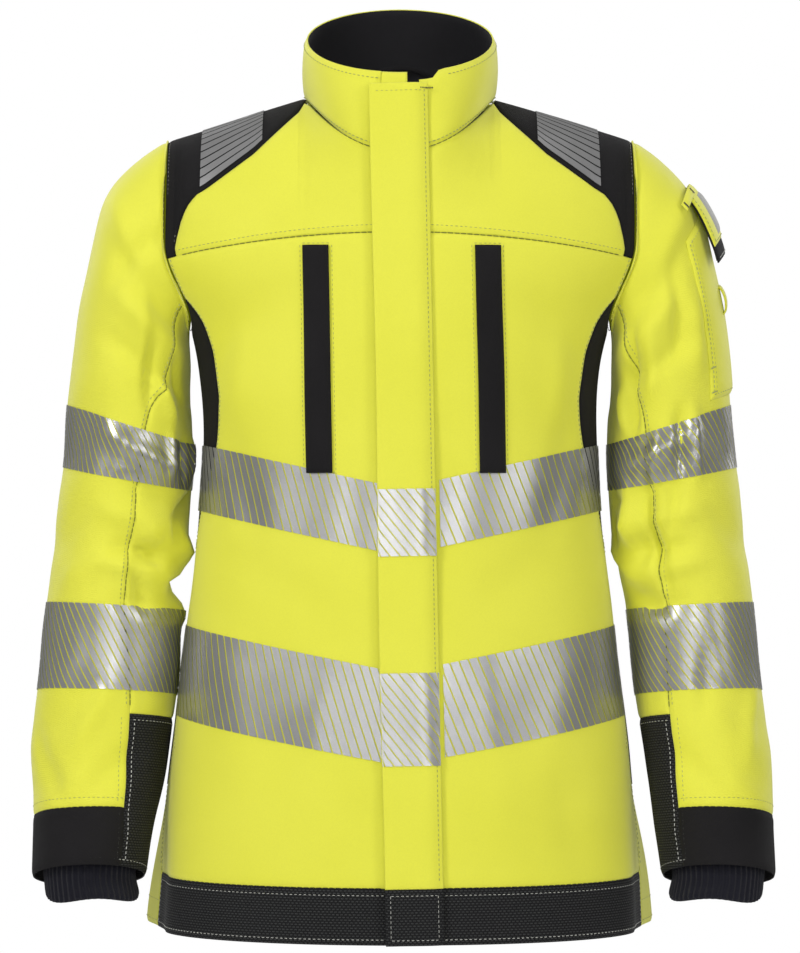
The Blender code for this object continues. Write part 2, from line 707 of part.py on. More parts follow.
def storm_flap():
    hinge = pivot("storm_flap_hinge", on_placket(FLAP_HINGE_E, FLAP_LIFT, FLAP_TOP / 2))
    across = (FLAP_HINGE_E - FLAP_WIDTH, FLAP_HINGE_E)
    out = (FLAP_LIFT, FLAP_LIFT + FABRIC)
    placket_bar("storm_flap", across, out, (HEM_BAND + GAP, FLAP_TOP), YELLOW, hinge)
    placket_bar("flap_hem", across, out, (0.0, HEM_BAND - GAP), RIPSTOP, hinge)
    tape_out = (FLAP_LIFT + FABRIC + CLEAR, FLAP_LIFT + FABRIC + CLEAR + TAPE)
    for name, z, width in (("flap_chest_tape", CHEST_TAPE_Z, CHEST_TAPE),
                           ("flap_waist_tape", WAIST_TAPE_Z, WAIST_TAPE)):
        placket_bar(name, across, tape_out, (z - width / 2, z + width / 2), REFLECTIVE, hinge)
    placket_bar("flap_seam_strip", (FLAP_HINGE_E - 0.0035, FLAP_HINGE_E), (0.0006, FLAP_LIFT - CLEAR),
                (0.002, NECK_FRONT_Z - 0.02), YELLOW)


def zip_halves():
    """Each half is its tape and chain drawn as one outline and pulled along the placket."""
    chain = 0.003
    tape_back, tape_front = -0.0014, -0.0006
    for side, tag in SIDES:
        outline = [(CLEAR, ZIP_FACE), (CLEAR, ZIP_FACE - ZIP_CHAIN), (chain, ZIP_FACE - ZIP_CHAIN),
                   (chain, tape_back), (chain + ZIP_TAPE, tape_back), (chain + ZIP_TAPE, tape_front),
                   (chain, tape_front), (chain, ZIP_FACE)]
        draw = bpy.data.curves.new(f"zip_half_{tag}", "CURVE")
        draw.dimensions = "2D"
        draw.fill_mode = "BOTH"
        draw.extrude = (ZIP_TOP - ZIP_BOTTOM) / 2
        spline = draw.splines.new("POLY")
        spline.points.add(len(outline) - 1)
        for point, (x, out) in zip(spline.points, outline):
            point.co = (side * x, -out, 0, 1)
        spline.use_cyclic_u = True
        draw.materials.append(LINING_CLOTH)
        made = bpy.data.objects.new(f"zip_half_{tag}", draw)
        made.parent = garment
        made.location = on_placket(0, 0, (ZIP_TOP + ZIP_BOTTOM) / 2)
        made.rotation_euler = PLACKET_FRAME.to_euler()
        jacket.objects.link(made)
    placket_bar("zip_box", (-0.0055, 0.0055), (-0.0022, 0.0014), (0.002, ZIP_BOTTOM - CLEAR), ZIP_METAL,
                rounding=0.0006)


def zip_slider():
    runner = pivot("zip_slider_path", on_placket(0, 0.0015, ZIP_TOP - 0.008))
    top = ZIP_TOP - 0.002
    face = ZIP_FACE + CLEAR + FABRIC
    plate = placket_bar("zip_slider", (-0.0048, 0.0048), (ZIP_FACE + CLEAR, face), (top - 0.013, top),
                        ZIP_METAL, runner, 0.0004)
    pull = placket_bar("zip_pull_shape", (-0.0030, 0.0030), (face - CLEAR, FLAP_LIFT - PULL_CLEAR),
                       (top - 0.036, top - 0.005), ZIP_METAL, runner, 0.0004)
    fuse(plate, pull)


def fuse(body, other):
    """Join other into body as one solid; other becomes a hidden cutter."""
    jacket.objects.unlink(other)
    cutters.objects.link(other)
    other.hide_render = True
    other.display_type = "WIRE"
    union = body.modifiers.new("fused", "BOOLEAN")
    union.operation = "UNION"
    union.solver = "EXACT"
    union.object = other


cutters = bpy.data.collections.new("cutters")
bpy.context.scene.collection.children.link(cutters)


# ---------------------------------------------------------------- chest pockets
def surface_at(side, reach, z):
    """Point and outward normal of the front at a place out from the placket's centre."""
    x = side * placket_x(z) + reach
    phi = math.degrees(math.asin(x / half_width(z)))
    point = body_point(phi, z)
    normal = outward(body_point, phi, z, (0.5, 0.001))
    return Vector((side * point.x, point.y, point.z)), Vector((side * normal.x, normal.y, normal.z))


def chest_pocket(side, tag):
    low, normal = surface_at(side, WELT_E, WELT_LOW)
    high, _ = surface_at(side, WELT_E, WELT_HIGH)
    frame = frame_between(low, high, normal)
    length = (high - low).length
    half = WELT_WIDTH / 2
    out = (WELT_LIFT, WELT_LIFT + FABRIC)
    outer = low + frame @ Vector((side * half, -WELT_LIFT, length / 2))
    hinge = pivot(f"chest_welt_hinge_{tag}", outer)
    add(f"chest_pocket_welt_{tag}", bar(frame, low, (-half, half), out, (0, length), 0.0003), BLACK, hinge)
    face = 0.0020
    add(f"chest_zip_{tag}",
        bar(frame, low, (-0.007, 0.007), (face - LINING, face), (0.018, length - 0.004)), LINING_CLOTH)
    path = pivot(f"chest_zip_path_{tag}", low + frame @ Vector((0, -face, length - 0.012)))
    slider_out = (face + CLEAR, WELT_LIFT - 2 * CLEAR)
    add(f"chest_zip_slider_{tag}",
        bar(frame, low, (-0.0035, 0.0035), slider_out, (length - 0.022, length - 0.008), CLEAR),
        ZIP_METAL, path)


def side_pocket(side, tag):
    """Pocket bag half way from the front panel to the lining, on the panel's own grid lines."""
    low, high = POCKET_BAG
    rows = [(h - low) / (high - low) for h in SIDE_LEVELS if low <= h <= high]
    cloth(f"side_pocket_bag_{tag}", body_point,
          region(placket_phi(side, PLACKET_HALF), panel_edge, lambda u: low, lambda u: high,
                 spaced(0.4, 0.9, 5), rows), -LINING_DEPTH / 2, LINING, LINING_CLOTH, side)


# ---------------------------------------------------------------- hanger loop
def hanger_loop():
    ends = collar_point(180, 0)
    centre = loop_point()
    draw = bpy.data.curves.new("hanger_loop", "CURVE")
    draw.dimensions = "3D"
    draw.bevel_depth = LOOP_WIRE
    draw.bevel_resolution = 2
    draw.use_fill_caps = True
    spline = draw.splines.new("POLY")
    steps = 12
    spline.points.add(steps)
    for i, point in enumerate(spline.points):
        angle = math.pi * i / steps
        y = centre.y + LOOP_STANDOFF * abs(math.cos(angle)) ** 3
        z = ends.z + (centre.z + LOOP_WIRE - ends.z) * math.sin(angle) ** 0.7
        point.co = (-LOOP_HALF * math.cos(angle), y, z, 1)
    draw.materials.append(BLACK)
    made = bpy.data.objects.new("hanger_loop", draw)
    made.parent = garment
    jacket.objects.link(made)


# ---------------------------------------------------------------- sleeves
def sleeve(side, tag):
    shoulder = armhole_point(0)
    hinge = pivot(f"sleeve_hinge_{tag}", Vector((side * shoulder.x, 0.005, SHOULDER_Z + 0.002)))
    hinge_args = dict(side=side, parent=hinge, step=(1.0, 0.01))
    back = BACK_SEAM - 360
    outer_end = CUFF_START - 0.02

    def front(v):
        return smooth_through(FRONT_SEAM[side], v) - SLEEVE_SEAM

    def under(v):
        return front(v) + 2 * SLEEVE_SEAM
    rows = [0, 0.4, 0.8, 1.2, 1.7, 2.3, 3, 4, 5, 6, 7, 8, 9, outer_end]
    outer_rows = [r / rows[-1] for r in rows]
    cloth(f"sleeve_outer_{tag}", sleeve_point,
          region(lambda v: back + SLEEVE_SEAM, front, lambda u: 0.0, lambda u: outer_end,
                 spaced(0, 1, 11), outer_rows), 0.0, FABRIC, YELLOW, **hinge_args)
    under_rows = [r / INSET_START for r in rows if r <= 8] + [1.0]
    cloth(f"sleeve_under_{tag}", sleeve_point,
          region(under, lambda v: BACK_SEAM - SLEEVE_SEAM, lambda u: 0.0, lambda u: INSET_START - 0.01,
                 spaced(0, 1, 6), under_rows), 0.0, FABRIC, YELLOW, **hinge_args)
    cloth(f"sleeve_inset_{tag}", sleeve_point,
          region(under, lambda v: BACK_SEAM - SLEEVE_SEAM, lambda u: INSET_START + 0.01,
                 lambda u: SLEEVE_END, spaced(0, 1, 6), spaced(0, 1, 3)),
          0.0, FABRIC, RIPSTOP, **hinge_args)
    cloth(f"cuff_band_{tag}", sleeve_point,
          region(lambda v: back + SLEEVE_SEAM, front, lambda u: CUFF_START + 0.01,
                 lambda u: SLEEVE_END, spaced(0, 1, 10), [0, 1]), 0.0, FABRIC, BLACK, **hinge_args)
    knit(side, tag, hinge)
    for name, (start, end) in (("sleeve_tape_upper", UPPER_TAPE), ("sleeve_tape_lower", LOWER_TAPE)):
        cloth(f"{name}_{tag}", sleeve_point,
              region(lambda v: 182.0, lambda v: 538.0, lambda u: start, lambda u: end,
                     spaced(0, 1, 22), [0, 1]),
              TAPE_LIFT + TAPE, TAPE, REFLECTIVE, **hinge_args)
    return hinge


def knit(side, tag, hinge):
    """Ribbed inner cuff: a closed tube, so its ring of quads is built round and then thickened."""
    around = 16
    levels = spaced(KNIT_START, KNIT_END, 2)
    bm = bmesh.new()
    rings = []
    for s in levels:
        ring = []
        for k in range(around):
            point = sleeve_ring(360 * k / around, s, KNIT_DEPTH)
            ring.append(bm.verts.new((side * point.x, point.y, point.z)))
        rings.append(ring)
    for low, high in zip(rings, rings[1:]):
        for k in range(around):
            nxt = (k + 1) % around
            bm.faces.new((low[k], low[nxt], high[nxt], high[k]))
    bmesh.ops.recalc_face_normals(bm, faces=bm.faces)
    middle = sum((v.co for v in bm.verts), Vector()) / len(bm.verts)
    facet = max(bm.faces, key=lambda f: abs(f.calc_center_median().x - middle.x))
    if facet.normal.dot(facet.calc_center_median() - middle) < 0:
        bmesh.ops.reverse_faces(bm, faces=bm.faces)
    made = add(f"knit_cuff_{tag}", bm, KNIT, hinge)
    solid = made.modifiers.new("thickness", "SOLIDIFY")
    solid.thickness = 0.0016
    solid.offset = -1


def sleeve_fittings(hinge):
    """Patch pocket, its flap and the pen loop on the wearer's left sleeve."""
    fit = dict(side=1, parent=hinge, step=(1.0, 0.01))
    cloth("sleeve_pocket", sleeve_point,
          region(lambda v: -42.0, lambda v: 52.0, lambda u: 2.06, lambda u: 4.38, spaced(0, 1, 6),
                 spaced(0, 1, 7)), 0.0022, FABRIC, YELLOW, **fit)
    low = sleeve_point(5, 2.55)
    high = sleeve_point(5, 1.50)
    frame = frame_between(low, high, outward(sleeve_point, 5, 2.0, (1.0, 0.01)))
    length = (high - low).length
    out = (0.0075, 0.0095)
    strap = pivot("sleeve_strap_hinge", high + frame @ Vector((0, -out[0], 0)), hinge)
    add("sleeve_strap", bar(frame, low, (-0.021, 0.021), out, (0, length), 0.0004), BLACK, strap)
    low = sleeve_point(12, 3.36)
    high = sleeve_point(12, 2.98)
    frame = frame_between(low, high, outward(sleeve_point, 12, 3.2, (1.0, 0.01)))
    add("pen_loop", bar(frame, low, (-0.008, 0.008), (0.0032, 0.0056), (0, (high - low).length), 0.0005),
        YELLOW, hinge)


# ---------------------------------------------------------------- assembly
SIDES = ((-1, "r"), (1, "l"))

for SIDE, TAG in SIDES:
    front_panels(SIDE, TAG)
    shoulder_patch(SIDE, TAG)
    side_panel(SIDE, TAG)
    side_pocket(SIDE, TAG)
    chest_pocket(SIDE, TAG)
back_panels()
lining()
tape_ring("chest_tape", CHEST_TAPE_Z, CHEST_TAPE_RISE, CHEST_TAPE)
tape_ring("waist_tape", WAIST_TAPE_Z, WAIST_TAPE_RISE, WAIST_TAPE)
collar()
storm_flap()
zip_halves()
zip_slider()
hanger_loop()
sleeve(-1, "r")
sleeve_fittings(sleeve(1, "l"))
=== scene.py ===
"""Looks of the high-visibility work jacket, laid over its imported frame.

The garment is drafted up from its hem, in metres, and then dropped so that the hanger loop's bearing
point is the world origin. The front faces -Y and the wearer's left arm is at +X.
"""

import math

import bpy
import numpy as np
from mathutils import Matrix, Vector


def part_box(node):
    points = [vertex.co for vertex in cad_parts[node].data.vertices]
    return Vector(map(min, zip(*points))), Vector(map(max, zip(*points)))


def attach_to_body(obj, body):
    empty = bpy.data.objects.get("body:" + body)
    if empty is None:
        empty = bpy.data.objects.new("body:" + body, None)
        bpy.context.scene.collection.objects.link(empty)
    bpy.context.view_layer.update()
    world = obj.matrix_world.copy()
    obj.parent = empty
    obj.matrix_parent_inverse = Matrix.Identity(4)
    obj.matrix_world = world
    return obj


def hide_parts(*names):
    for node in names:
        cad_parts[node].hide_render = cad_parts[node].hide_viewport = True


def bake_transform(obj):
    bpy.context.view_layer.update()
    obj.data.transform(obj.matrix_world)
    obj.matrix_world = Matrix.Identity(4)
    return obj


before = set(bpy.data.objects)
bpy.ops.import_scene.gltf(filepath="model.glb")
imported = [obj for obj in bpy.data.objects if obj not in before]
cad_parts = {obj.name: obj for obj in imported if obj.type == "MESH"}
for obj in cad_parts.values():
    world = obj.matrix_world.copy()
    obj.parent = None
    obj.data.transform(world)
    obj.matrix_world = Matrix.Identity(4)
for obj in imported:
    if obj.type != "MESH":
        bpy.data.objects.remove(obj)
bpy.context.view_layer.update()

# ---------------------------------------------------------------- the cut of the jacket
HANG = np.array([0.0, 0.0465, 0.67838])     # the loop's bearing point over the middle of the hem
HEM_HALF = 0.191
SHOULDER_X = 0.182
SHOULDER_Z = 0.6165
YOKE_LEVEL = 0.533
ARCH = 0.150
RIDGE = YOKE_LEVEL + ARCH
YOKE_HALF = SHOULDER_X / 0.8835
NECK_HALF = 0.075
NECK_FRONT_Z = 0.602
NECK_BACK_Y = 0.063
RIDGE_SLOPE = 0.305
ARMPIT_Z = 0.468
FRONT_Y_HEM = -0.130
FRONT_Y_COLLAR = -0.088
COLLAR_FRONT_Z = 0.663
COLLAR_BACK_Z = 0.727
COLLAR_BACK_Y = 0.048
HALF_WIDTHS = [(0.0, HEM_HALF), (0.100, 0.184), (0.355, 0.156), (ARMPIT_Z, 0.164),
               (YOKE_LEVEL, YOKE_HALF),
               (0.598, 0.164)]      # the last key only keeps the sides upright at the yoke level
BACK_DEPTHS = [(0.0, 0.122), (0.30, 0.110), (0.45, 0.121), (YOKE_LEVEL, 0.116)]
SECTION_POWER = 2.4
HEM_BAND = 0.0425
PLACKET_DRIFT = 0.0113
PLACKET_HALF = 0.0138
YOKE_SEAM_Z = 0.540
YOKE_SEAM_DROP = 0.018
BACK_SEAM_Z = 0.528
PATCH_EDGE = [(0.0735, 0.6462), (0.078, 0.637), (0.113, 0.603), (0.150, 0.576), (0.1585, 0.5710),
              (0.1655, 0.5620), (0.1705, 0.5490), (0.1740, 0.5330), (0.1765, 0.5100)]
YOKE_EDGE = 0.1762
SIDE_EDGE = [(0.29, 90.0), (0.335, 78.0), (0.375, 68.0), (0.415, 64.0), (0.45, 66.0), (0.507, 70.8)]
SIDE_TOP = 0.492
FLAP_LEFT = -0.0223         # storm flap's free edge and hinge edge, across from the placket's centre
FLAP_RIGHT = 0.0222
FLAP_OUT = 0.0056
FLAP_TOP = 0.655
ZIP_TOP = 0.650
CHEST_TAPE = (0.319, 0.033, 0.051)          # centre at the placket, rise to the side, width
WAIST_TAPE = (0.170, 0.032, 0.070)
WELT_E = 0.0656
WELT_LOW = 0.356
WELT_HIGH = 0.530
WELT_WIDTH = 0.020
SLEEVE_STATIONS = [
    (0.1830, 0.6165, 0.1645, 0.4680, 0.0560, 0.005, 0),
    (0.2130, 0.5960, 0.1672, 0.4520, 0.0580, 0.006, 0),
    (0.2350, 0.5630, 0.1672, 0.4360, 0.0620, 0.007, 0),
    (0.2490, 0.5030, 0.1662, 0.4120, 0.0630, 0.008, 0),
    (0.2585, 0.4400, 0.1645, 0.3960, 0.0620, 0.008, 0),
    (0.2635, 0.3850, 0.1635, 0.3600, 0.0600, 0.007, 0),
    (0.2700, 0.3200, 0.1670, 0.3100, 0.0580, 0.006, 0),
    (0.2770, 0.2620, 0.1770, 0.2560, 0.0560, 0.004, 3),
    (0.2840, 0.1900, 0.1850, 0.1860, 0.0540, -0.002, 6),
    (0.2900, 0.1330, 0.1915, 0.1330, 0.0500, -0.012, 10),
    (0.2915, 0.0850, 0.1985, 0.0870, 0.0470, -0.023, 14),
    (0.2920, 0.0420, 0.2040, 0.0440, 0.0440, -0.035, 17),
]
SLEEVE_END = 11.0
CUFF_START = 9.95
INSET_START = 8.4
FRONT_SEAM = {-1: [(0.0, 137.0), (3.0, 130.0), (4.6, 108.0), (7.0, 104.0), (8.4, 116.0), (11.0, 129.0)],
              1: [(0.0, 137.0), (3.0, 130.0), (4.6, 117.0), (7.0, 118.0), (8.4, 125.0), (11.0, 134.0)]}
BACK_SEAM = 236.0
UPPER_TAPE = (4.55, 5.38)
LOWER_TAPE = (7.115, 8.07)
SLEEVE_HEAD_GAP = 0.0022

FABRIC = 0.0011
SEAM_DIP = 0.0011           # how far a panel's edge rolls down into its seam
SEGMENT_PITCH = 0.0074      # reflective segments
SLEEVE_PITCH = 0.0063
SEGMENT_GAP = 0.0012
SIDES = ((-1, "r"), (1, "l"))
LEAST_SIDE = 0.01           # declare() works out a cut as at least this wide and long


# ---------------------------------------------------------------- smooth curves
def curve_through(keys, t):
    """Smooth curve through (place, value) keys, at an array of places."""
    places = np.array([k[0] for k in keys], float)
    values = np.array([k[1] for k in keys], float)
    chords = np.diff(values) / np.diff(places)
    slopes = np.concatenate([chords[:1], (values[2:] - values[:-2]) / (places[2:] - places[:-2]),
                             chords[-1:]])
    t = np.clip(np.asarray(t, float), places[0], places[-1])
    k = np.clip(np.searchsorted(places, t) - 1, 0, len(places) - 2)
    span = places[k + 1] - places[k]
    w = (t - places[k]) / span
    return ((2 * w**3 - 3 * w**2 + 1) * values[k] + (w**3 - 2 * w**2 + w) * span * slopes[k]
            + (3 * w**2 - 2 * w**3) * values[k + 1] + (w**3 - w**2) * span * slopes[k + 1])


def straight_through(keys, t):
    return np.interp(t, [k[0] for k in keys], [k[1] for k in keys])


def ease(t):
    t = np.clip(t, 0.0, 1.0)
    return t * t * (3 - 2 * t)


def front_line_y(z):
    return FRONT_Y_HEM + (FRONT_Y_COLLAR - FRONT_Y_HEM) * z / COLLAR_FRONT_Z


def placket_x(z):
    return PLACKET_DRIFT * (1 - z / NECK_FRONT_Z)


def ridge_z(x):
    top = SHOULDER_Z + RIDGE_SLOPE * math.hypot(SHOULDER_X, 0.025)
    return top - RIDGE_SLOPE * np.hypot(x, 0.025)


def cross_section(phi):
    turn = np.radians(phi)
    return np.sin(turn), np.abs(np.cos(turn)) ** (2 / SECTION_POWER)


# ---------------------------------------------------------------- the three forms, before folds
def trunk_form(u, g):
    """Trunk at u degrees round from the front, positive towards +X; g is the height, then the way over
    the shoulder, past RIDGE on the back."""
    u, g = np.broadcast_arrays(np.asarray(u, float), np.asarray(g, float))
    u = (u + 180) % 360 - 180
    side = np.where(u < 0, -1.0, 1.0)
    phi = np.abs(u)
    across, deep = cross_section(phi)
    over = g > RIDGE
    h = np.where(over, 2 * RIDGE - g, g)
    back = (phi > 90) | over
    low = np.minimum(h, YOKE_LEVEL)
    trunk_x = curve_through(HALF_WIDTHS, low) * across
    trunk_y = np.where(back, curve_through(BACK_DEPTHS, low), front_line_y(low)) * deep
    arch_x = YOKE_HALF * across
    theta = np.clip((h - YOKE_LEVEL) / ARCH, 0, 1) * math.pi / 2
    arch_z = YOKE_LEVEL + (ridge_z(arch_x) - YOKE_LEVEL) * np.sin(theta)
    turn = np.maximum(np.cos(theta), 0)
    behind = BACK_DEPTHS[-1][1] * deep * turn ** (0.6 + 0.3 * ease(arch_x / SHOULDER_X))
    before = front_line_y(arch_z) * deep * turn ** (0.9 * ease((arch_x - 0.026) / 0.05))
    above = h > YOKE_LEVEL
    x = np.where(above, arch_x, trunk_x) * side
    y = np.where(above, np.where(back, behind, before), trunk_y)
    z = np.where(above, arch_z, h)
    return np.stack([x, y, z], -1)


def arch_level(x, z):
    share = np.clip((z - YOKE_LEVEL) / (ridge_z(x) - YOKE_LEVEL), 0, 1)
    return np.where(z <= YOKE_LEVEL, z, YOKE_LEVEL + ARCH * np.arcsin(share) / (math.pi / 2))


def neck_level_front(phi):
    x = np.minimum(YOKE_HALF * cross_section(phi)[0], NECK_HALF)
    return arch_level(x, ridge_z(x) - (ridge_z(0.0) - NECK_FRONT_Z) * (1 - (x / NECK_HALF) ** 2))


def neck_level_back(phi):
    across, deep = cross_section(phi)
    x = np.minimum(YOKE_HALF * np.abs(across), NECK_HALF)
    y = NECK_BACK_Y * np.sqrt(np.maximum(1 - (x / NECK_HALF) ** 2, 0))
    power = 0.6 + 0.3 * ease(x / SHOULDER_X)
    turn = np.minimum((y / (BACK_DEPTHS[-1][1] * deep)) ** (1 / power), 1)
    return 2 * RIDGE - (YOKE_LEVEL + ARCH * np.arccos(turn) / (math.pi / 2))


ARMHOLE_ANGLE = math.degrees(math.asin(SHOULDER_X / YOKE_HALF))
ARMHOLE_SHARE = float(cross_section(ARMHOLE_ANGLE)[1])


def armhole_phi(h):
    rise = np.clip((YOKE_LEVEL - h) / (YOKE_LEVEL - ARMPIT_Z), 0, 1)
    deep = ARMHOLE_SHARE * np.sqrt(1 - rise * rise)
    return np.degrees(np.arccos(deep ** (SECTION_POWER / 2)))


def armhole_level(phi):
    deep = np.minimum(cross_section(phi)[1] / ARMHOLE_SHARE, 1)
    return YOKE_LEVEL - (YOKE_LEVEL - ARMPIT_Z) * np.sqrt(1 - deep * deep)


def armhole_form(alpha):
    """Edge of the +X armhole; alpha 0 is the shoulder point, 90 the front, 180 the armpit."""
    turn = np.radians(alpha)
    up = np.cos(turn)
    fore = np.sin(turn) >= 0
    arch_g = YOKE_LEVEL + ARCH * np.arcsin(np.clip(up, 0, 1)) / (math.pi / 2)
    h = YOKE_LEVEL + (YOKE_LEVEL - ARMPIT_Z) * np.minimum(up, 0)
    phi = armhole_phi(h)
    u = np.where(up >= 0, ARMHOLE_ANGLE, np.where(fore, phi, 180 - phi))
    g = np.where(up >= 0, np.where(fore, arch_g, 2 * RIDGE - arch_g), h)
    return trunk_form(u, g)


def sleeve_ring(alpha, s, shrink=0.0):
    held = np.clip(s, 0, SLEEVE_END)
    row = [curve_through([(i, r[k]) for i, r in enumerate(SLEEVE_STATIONS)], held) for k in range(7)]
    over_x, over_z, under_x, under_z, depth, mid_y, tilt = row
    middle = np.stack([(over_x + under_x) / 2, mid_y, (over_z + under_z) / 2], -1)
    across = np.stack([over_x - under_x, 0 * over_x, over_z - under_z], -1) / 2
    length = np.linalg.norm(across, axis=-1, keepdims=True)
    across = across * (length - shrink) / length
    lean = np.radians(tilt)
    forward = np.stack([0 * lean, -np.cos(lean), np.sin(lean)], -1) * (depth - shrink)[..., None]
    past = np.maximum(s - SLEEVE_END, 0)[..., None] * np.array([0.0028, -0.0120, -0.0425])
    turn = np.radians(alpha)[..., None]
    return middle + past + across * np.cos(turn) + forward * np.sin(turn)


def sleeve_form(alpha, s):
    """+X sleeve; alpha 0 is the over-arm line, 90 the front, 180 the under-arm; s runs down to the cuff."""
    alpha, s = np.broadcast_arrays(np.asarray(alpha, float), np.asarray(s, float))
    ring = sleeve_ring(alpha, s)
    edge = armhole_form(alpha) + np.array([SLEEVE_HEAD_GAP, 0, 0])
    share = ease(s / 1.5)[..., None]
    return edge * (1 - share) + ring * share


def collar_form(u, t):
    """Collar at u degrees round from the front, t from the neck seam up to the rim."""
    u, t = np.broadcast_arrays(np.asarray(u, float), np.asarray(t, float))
    u = (u + 180) % 360 - 180
    side = np.where(u < 0, -1.0, 1.0)
    psi = np.abs(u)
    across = np.sin(np.radians(psi))
    along = np.cos(np.radians(psi))
    phi = np.degrees(np.arcsin(np.clip(NECK_HALF * across / YOKE_HALF, 0, 1)))
    base = trunk_form(phi, np.where(psi <= 90, neck_level_front(phi), neck_level_back(phi)))
    mid_y = (FRONT_Y_COLLAR + COLLAR_BACK_Y) / 2
    mid_z = (COLLAR_FRONT_Z + COLLAR_BACK_Z) / 2
    top = np.stack([NECK_HALF * across, mid_y + (FRONT_Y_COLLAR - mid_y) * along,
                    mid_z + (COLLAR_FRONT_Z - mid_z) * along], -1)
    point = base + (top - base) * t[..., None]
    point[..., 0] *= side
    return point


def facing(form, u, v, step):
    across = form(u + step[0], v) - form(u - step[0], v)
    along = form(u, v + step[1]) - form(u, v - step[1])
    normal = np.cross(across, along)
    return normal / np.maximum(np.linalg.norm(normal, axis=-1, keepdims=True), 1e-12)


# ---------------------------------------------------------------- folds
# Each crease runs between two places seen from the front (x, z), with its half width and its depth;
# a positive depth is a ridge and a negative one a valley. Those of a sleeve are drawn on the +X one.
def crease(place, start, end, width, depth):
    start, end = np.array(start), np.array(end)
    along = end - start
    length = np.linalg.norm(along)
    along = along / length
    offset = place - start
    run = offset @ along
    side = offset @ np.array([-along[1], along[0]])
    taper = ease((run + width) / (0.35 * length + width)) * ease((length + width - run) / (0.35 * length + width))
    return depth * taper * np.exp(-(side / width) ** 2)


SLEEVE_FRONT_FOLDS = [
    ((0.166, 0.440), (0.222, 0.500), 0.010, 0.0050), ((0.170, 0.418), (0.236, 0.470), 0.008, -0.0035),
    ((0.176, 0.472), (0.226, 0.540), 0.011, -0.0040), ((0.196, 0.500), (0.226, 0.575), 0.009, 0.0030),
    ((0.168, 0.352), (0.232, 0.392), 0.008, 0.0045), ((0.168, 0.332), (0.226, 0.352), 0.006, -0.0045),
    ((0.166, 0.310), (0.236, 0.330), 0.007, 0.0052), ((0.172, 0.292), (0.228, 0.302), 0.006, -0.0050),
    ((0.172, 0.272), (0.238, 0.290), 0.007, 0.0048), ((0.178, 0.252), (0.226, 0.258), 0.006, -0.0038),
    ((0.240, 0.330), (0.274, 0.290), 0.010, -0.0025), ((0.232, 0.200), (0.286, 0.150), 0.012, -0.0030),
    ((0.200, 0.150), (0.250, 0.110), 0.010, -0.0026), ((0.244, 0.130), (0.288, 0.086), 0.010, 0.0030),
    ((0.204, 0.086), (0.250, 0.060), 0.010, 0.0030), ((0.230, 0.420), (0.262, 0.350), 0.012, -0.0028),
]
SLEEVE_BACK_FOLDS = [
    ((0.170, 0.430), (0.236, 0.500), 0.011, 0.0045), ((0.172, 0.400), (0.240, 0.450), 0.010, -0.0035),
    ((0.172, 0.330), (0.262, 0.345), 0.010, 0.0035), ((0.180, 0.300), (0.268, 0.305), 0.009, -0.0030),
    ((0.184, 0.262), (0.270, 0.276), 0.010, 0.0035), ((0.200, 0.190), (0.282, 0.150), 0.012, -0.0030),
    ((0.206, 0.120), (0.286, 0.090), 0.011, 0.0028),
]
# Folds about each elbow and armpit run between two places (degrees round the sleeve, height).
ROUND = 0.0012               # length of a degree round the sleeve
ELBOW_FOLDS = {-1: [
    ((184, 0.341), (142, 0.318), 0.0060, -0.0085), ((143, 0.320), (150, 0.298), 0.0050, -0.0060),
    ((138, 0.303), (190, 0.291), 0.0090, 0.0085), ((108, 0.299), (140, 0.287), 0.0042, -0.0060),
    ((112, 0.312), (132, 0.302), 0.0070, 0.0032), ((142, 0.267), (222, 0.266), 0.0075, -0.0110),
    ((160, 0.246), (222, 0.246), 0.0080, 0.0045), ((104, 0.285), (126, 0.252), 0.0070, -0.0034),
    ((96, 0.290), (112, 0.256), 0.0070, 0.0022), ((40, 0.270), (90, 0.294), 0.0100, 0.0022),
    ((152, 0.345), (150, 0.388), 0.0050, -0.0046), ((134, 0.350), (136, 0.392), 0.0050, 0.0026),
    ((168, 0.350), (168, 0.388), 0.0045, 0.0034), ((108, 0.470), (112, 0.400), 0.0050, -0.0046),
    ((122, 0.430), (140, 0.392), 0.0060, 0.0044), ((136, 0.450), (150, 0.408), 0.0048, -0.0044),
    ((96, 0.500), (104, 0.430), 0.0080, 0.0030), ((60, 0.500), (96, 0.560), 0.0100, -0.0030),
    ((70, 0.140), (100, 0.200), 0.0090, 0.0020), ((20, 0.160), (70, 0.100), 0.0100, -0.0022),
], 1: [
    ((118, 0.352), (112, 0.258), 0.0062, -0.0058), ((136, 0.348), (142, 0.300), 0.0095, 0.0046),
    ((124, 0.312), (132, 0.288), 0.0060, -0.0040), ((162, 0.326), (166, 0.300), 0.0040, -0.0046),
    ((186, 0.300), (140, 0.278), 0.0075, 0.0052), ((160, 0.262), (114, 0.250), 0.0062, -0.0060),
    ((170, 0.345), (150, 0.330), 0.0050, -0.0036), ((84, 0.412), (88, 0.350), 0.0050, -0.0050),
    ((90, 0.352), (101, 0.308), 0.0048, -0.0040), ((70, 0.412), (74, 0.346), 0.0070, 0.0036),
    ((102, 0.395), (112, 0.340), 0.0070, 0.0030), ((138, 0.440), (128, 0.384), 0.0060, -0.0062),
    ((150, 0.424), (142, 0.388), 0.0050, 0.0040), ((122, 0.470), (132, 0.424), 0.0055, -0.0048),
    ((104, 0.470), (112, 0.410), 0.0080, 0.0036), ((70, 0.520), (84, 0.440), 0.0080, -0.0036),
    ((56, 0.500), (66, 0.430), 0.0080, 0.0028), ((80, 0.230), (96, 0.160), 0.0090, -0.0022),
    ((30, 0.200), (60, 0.130), 0.0100, 0.0022),
]}
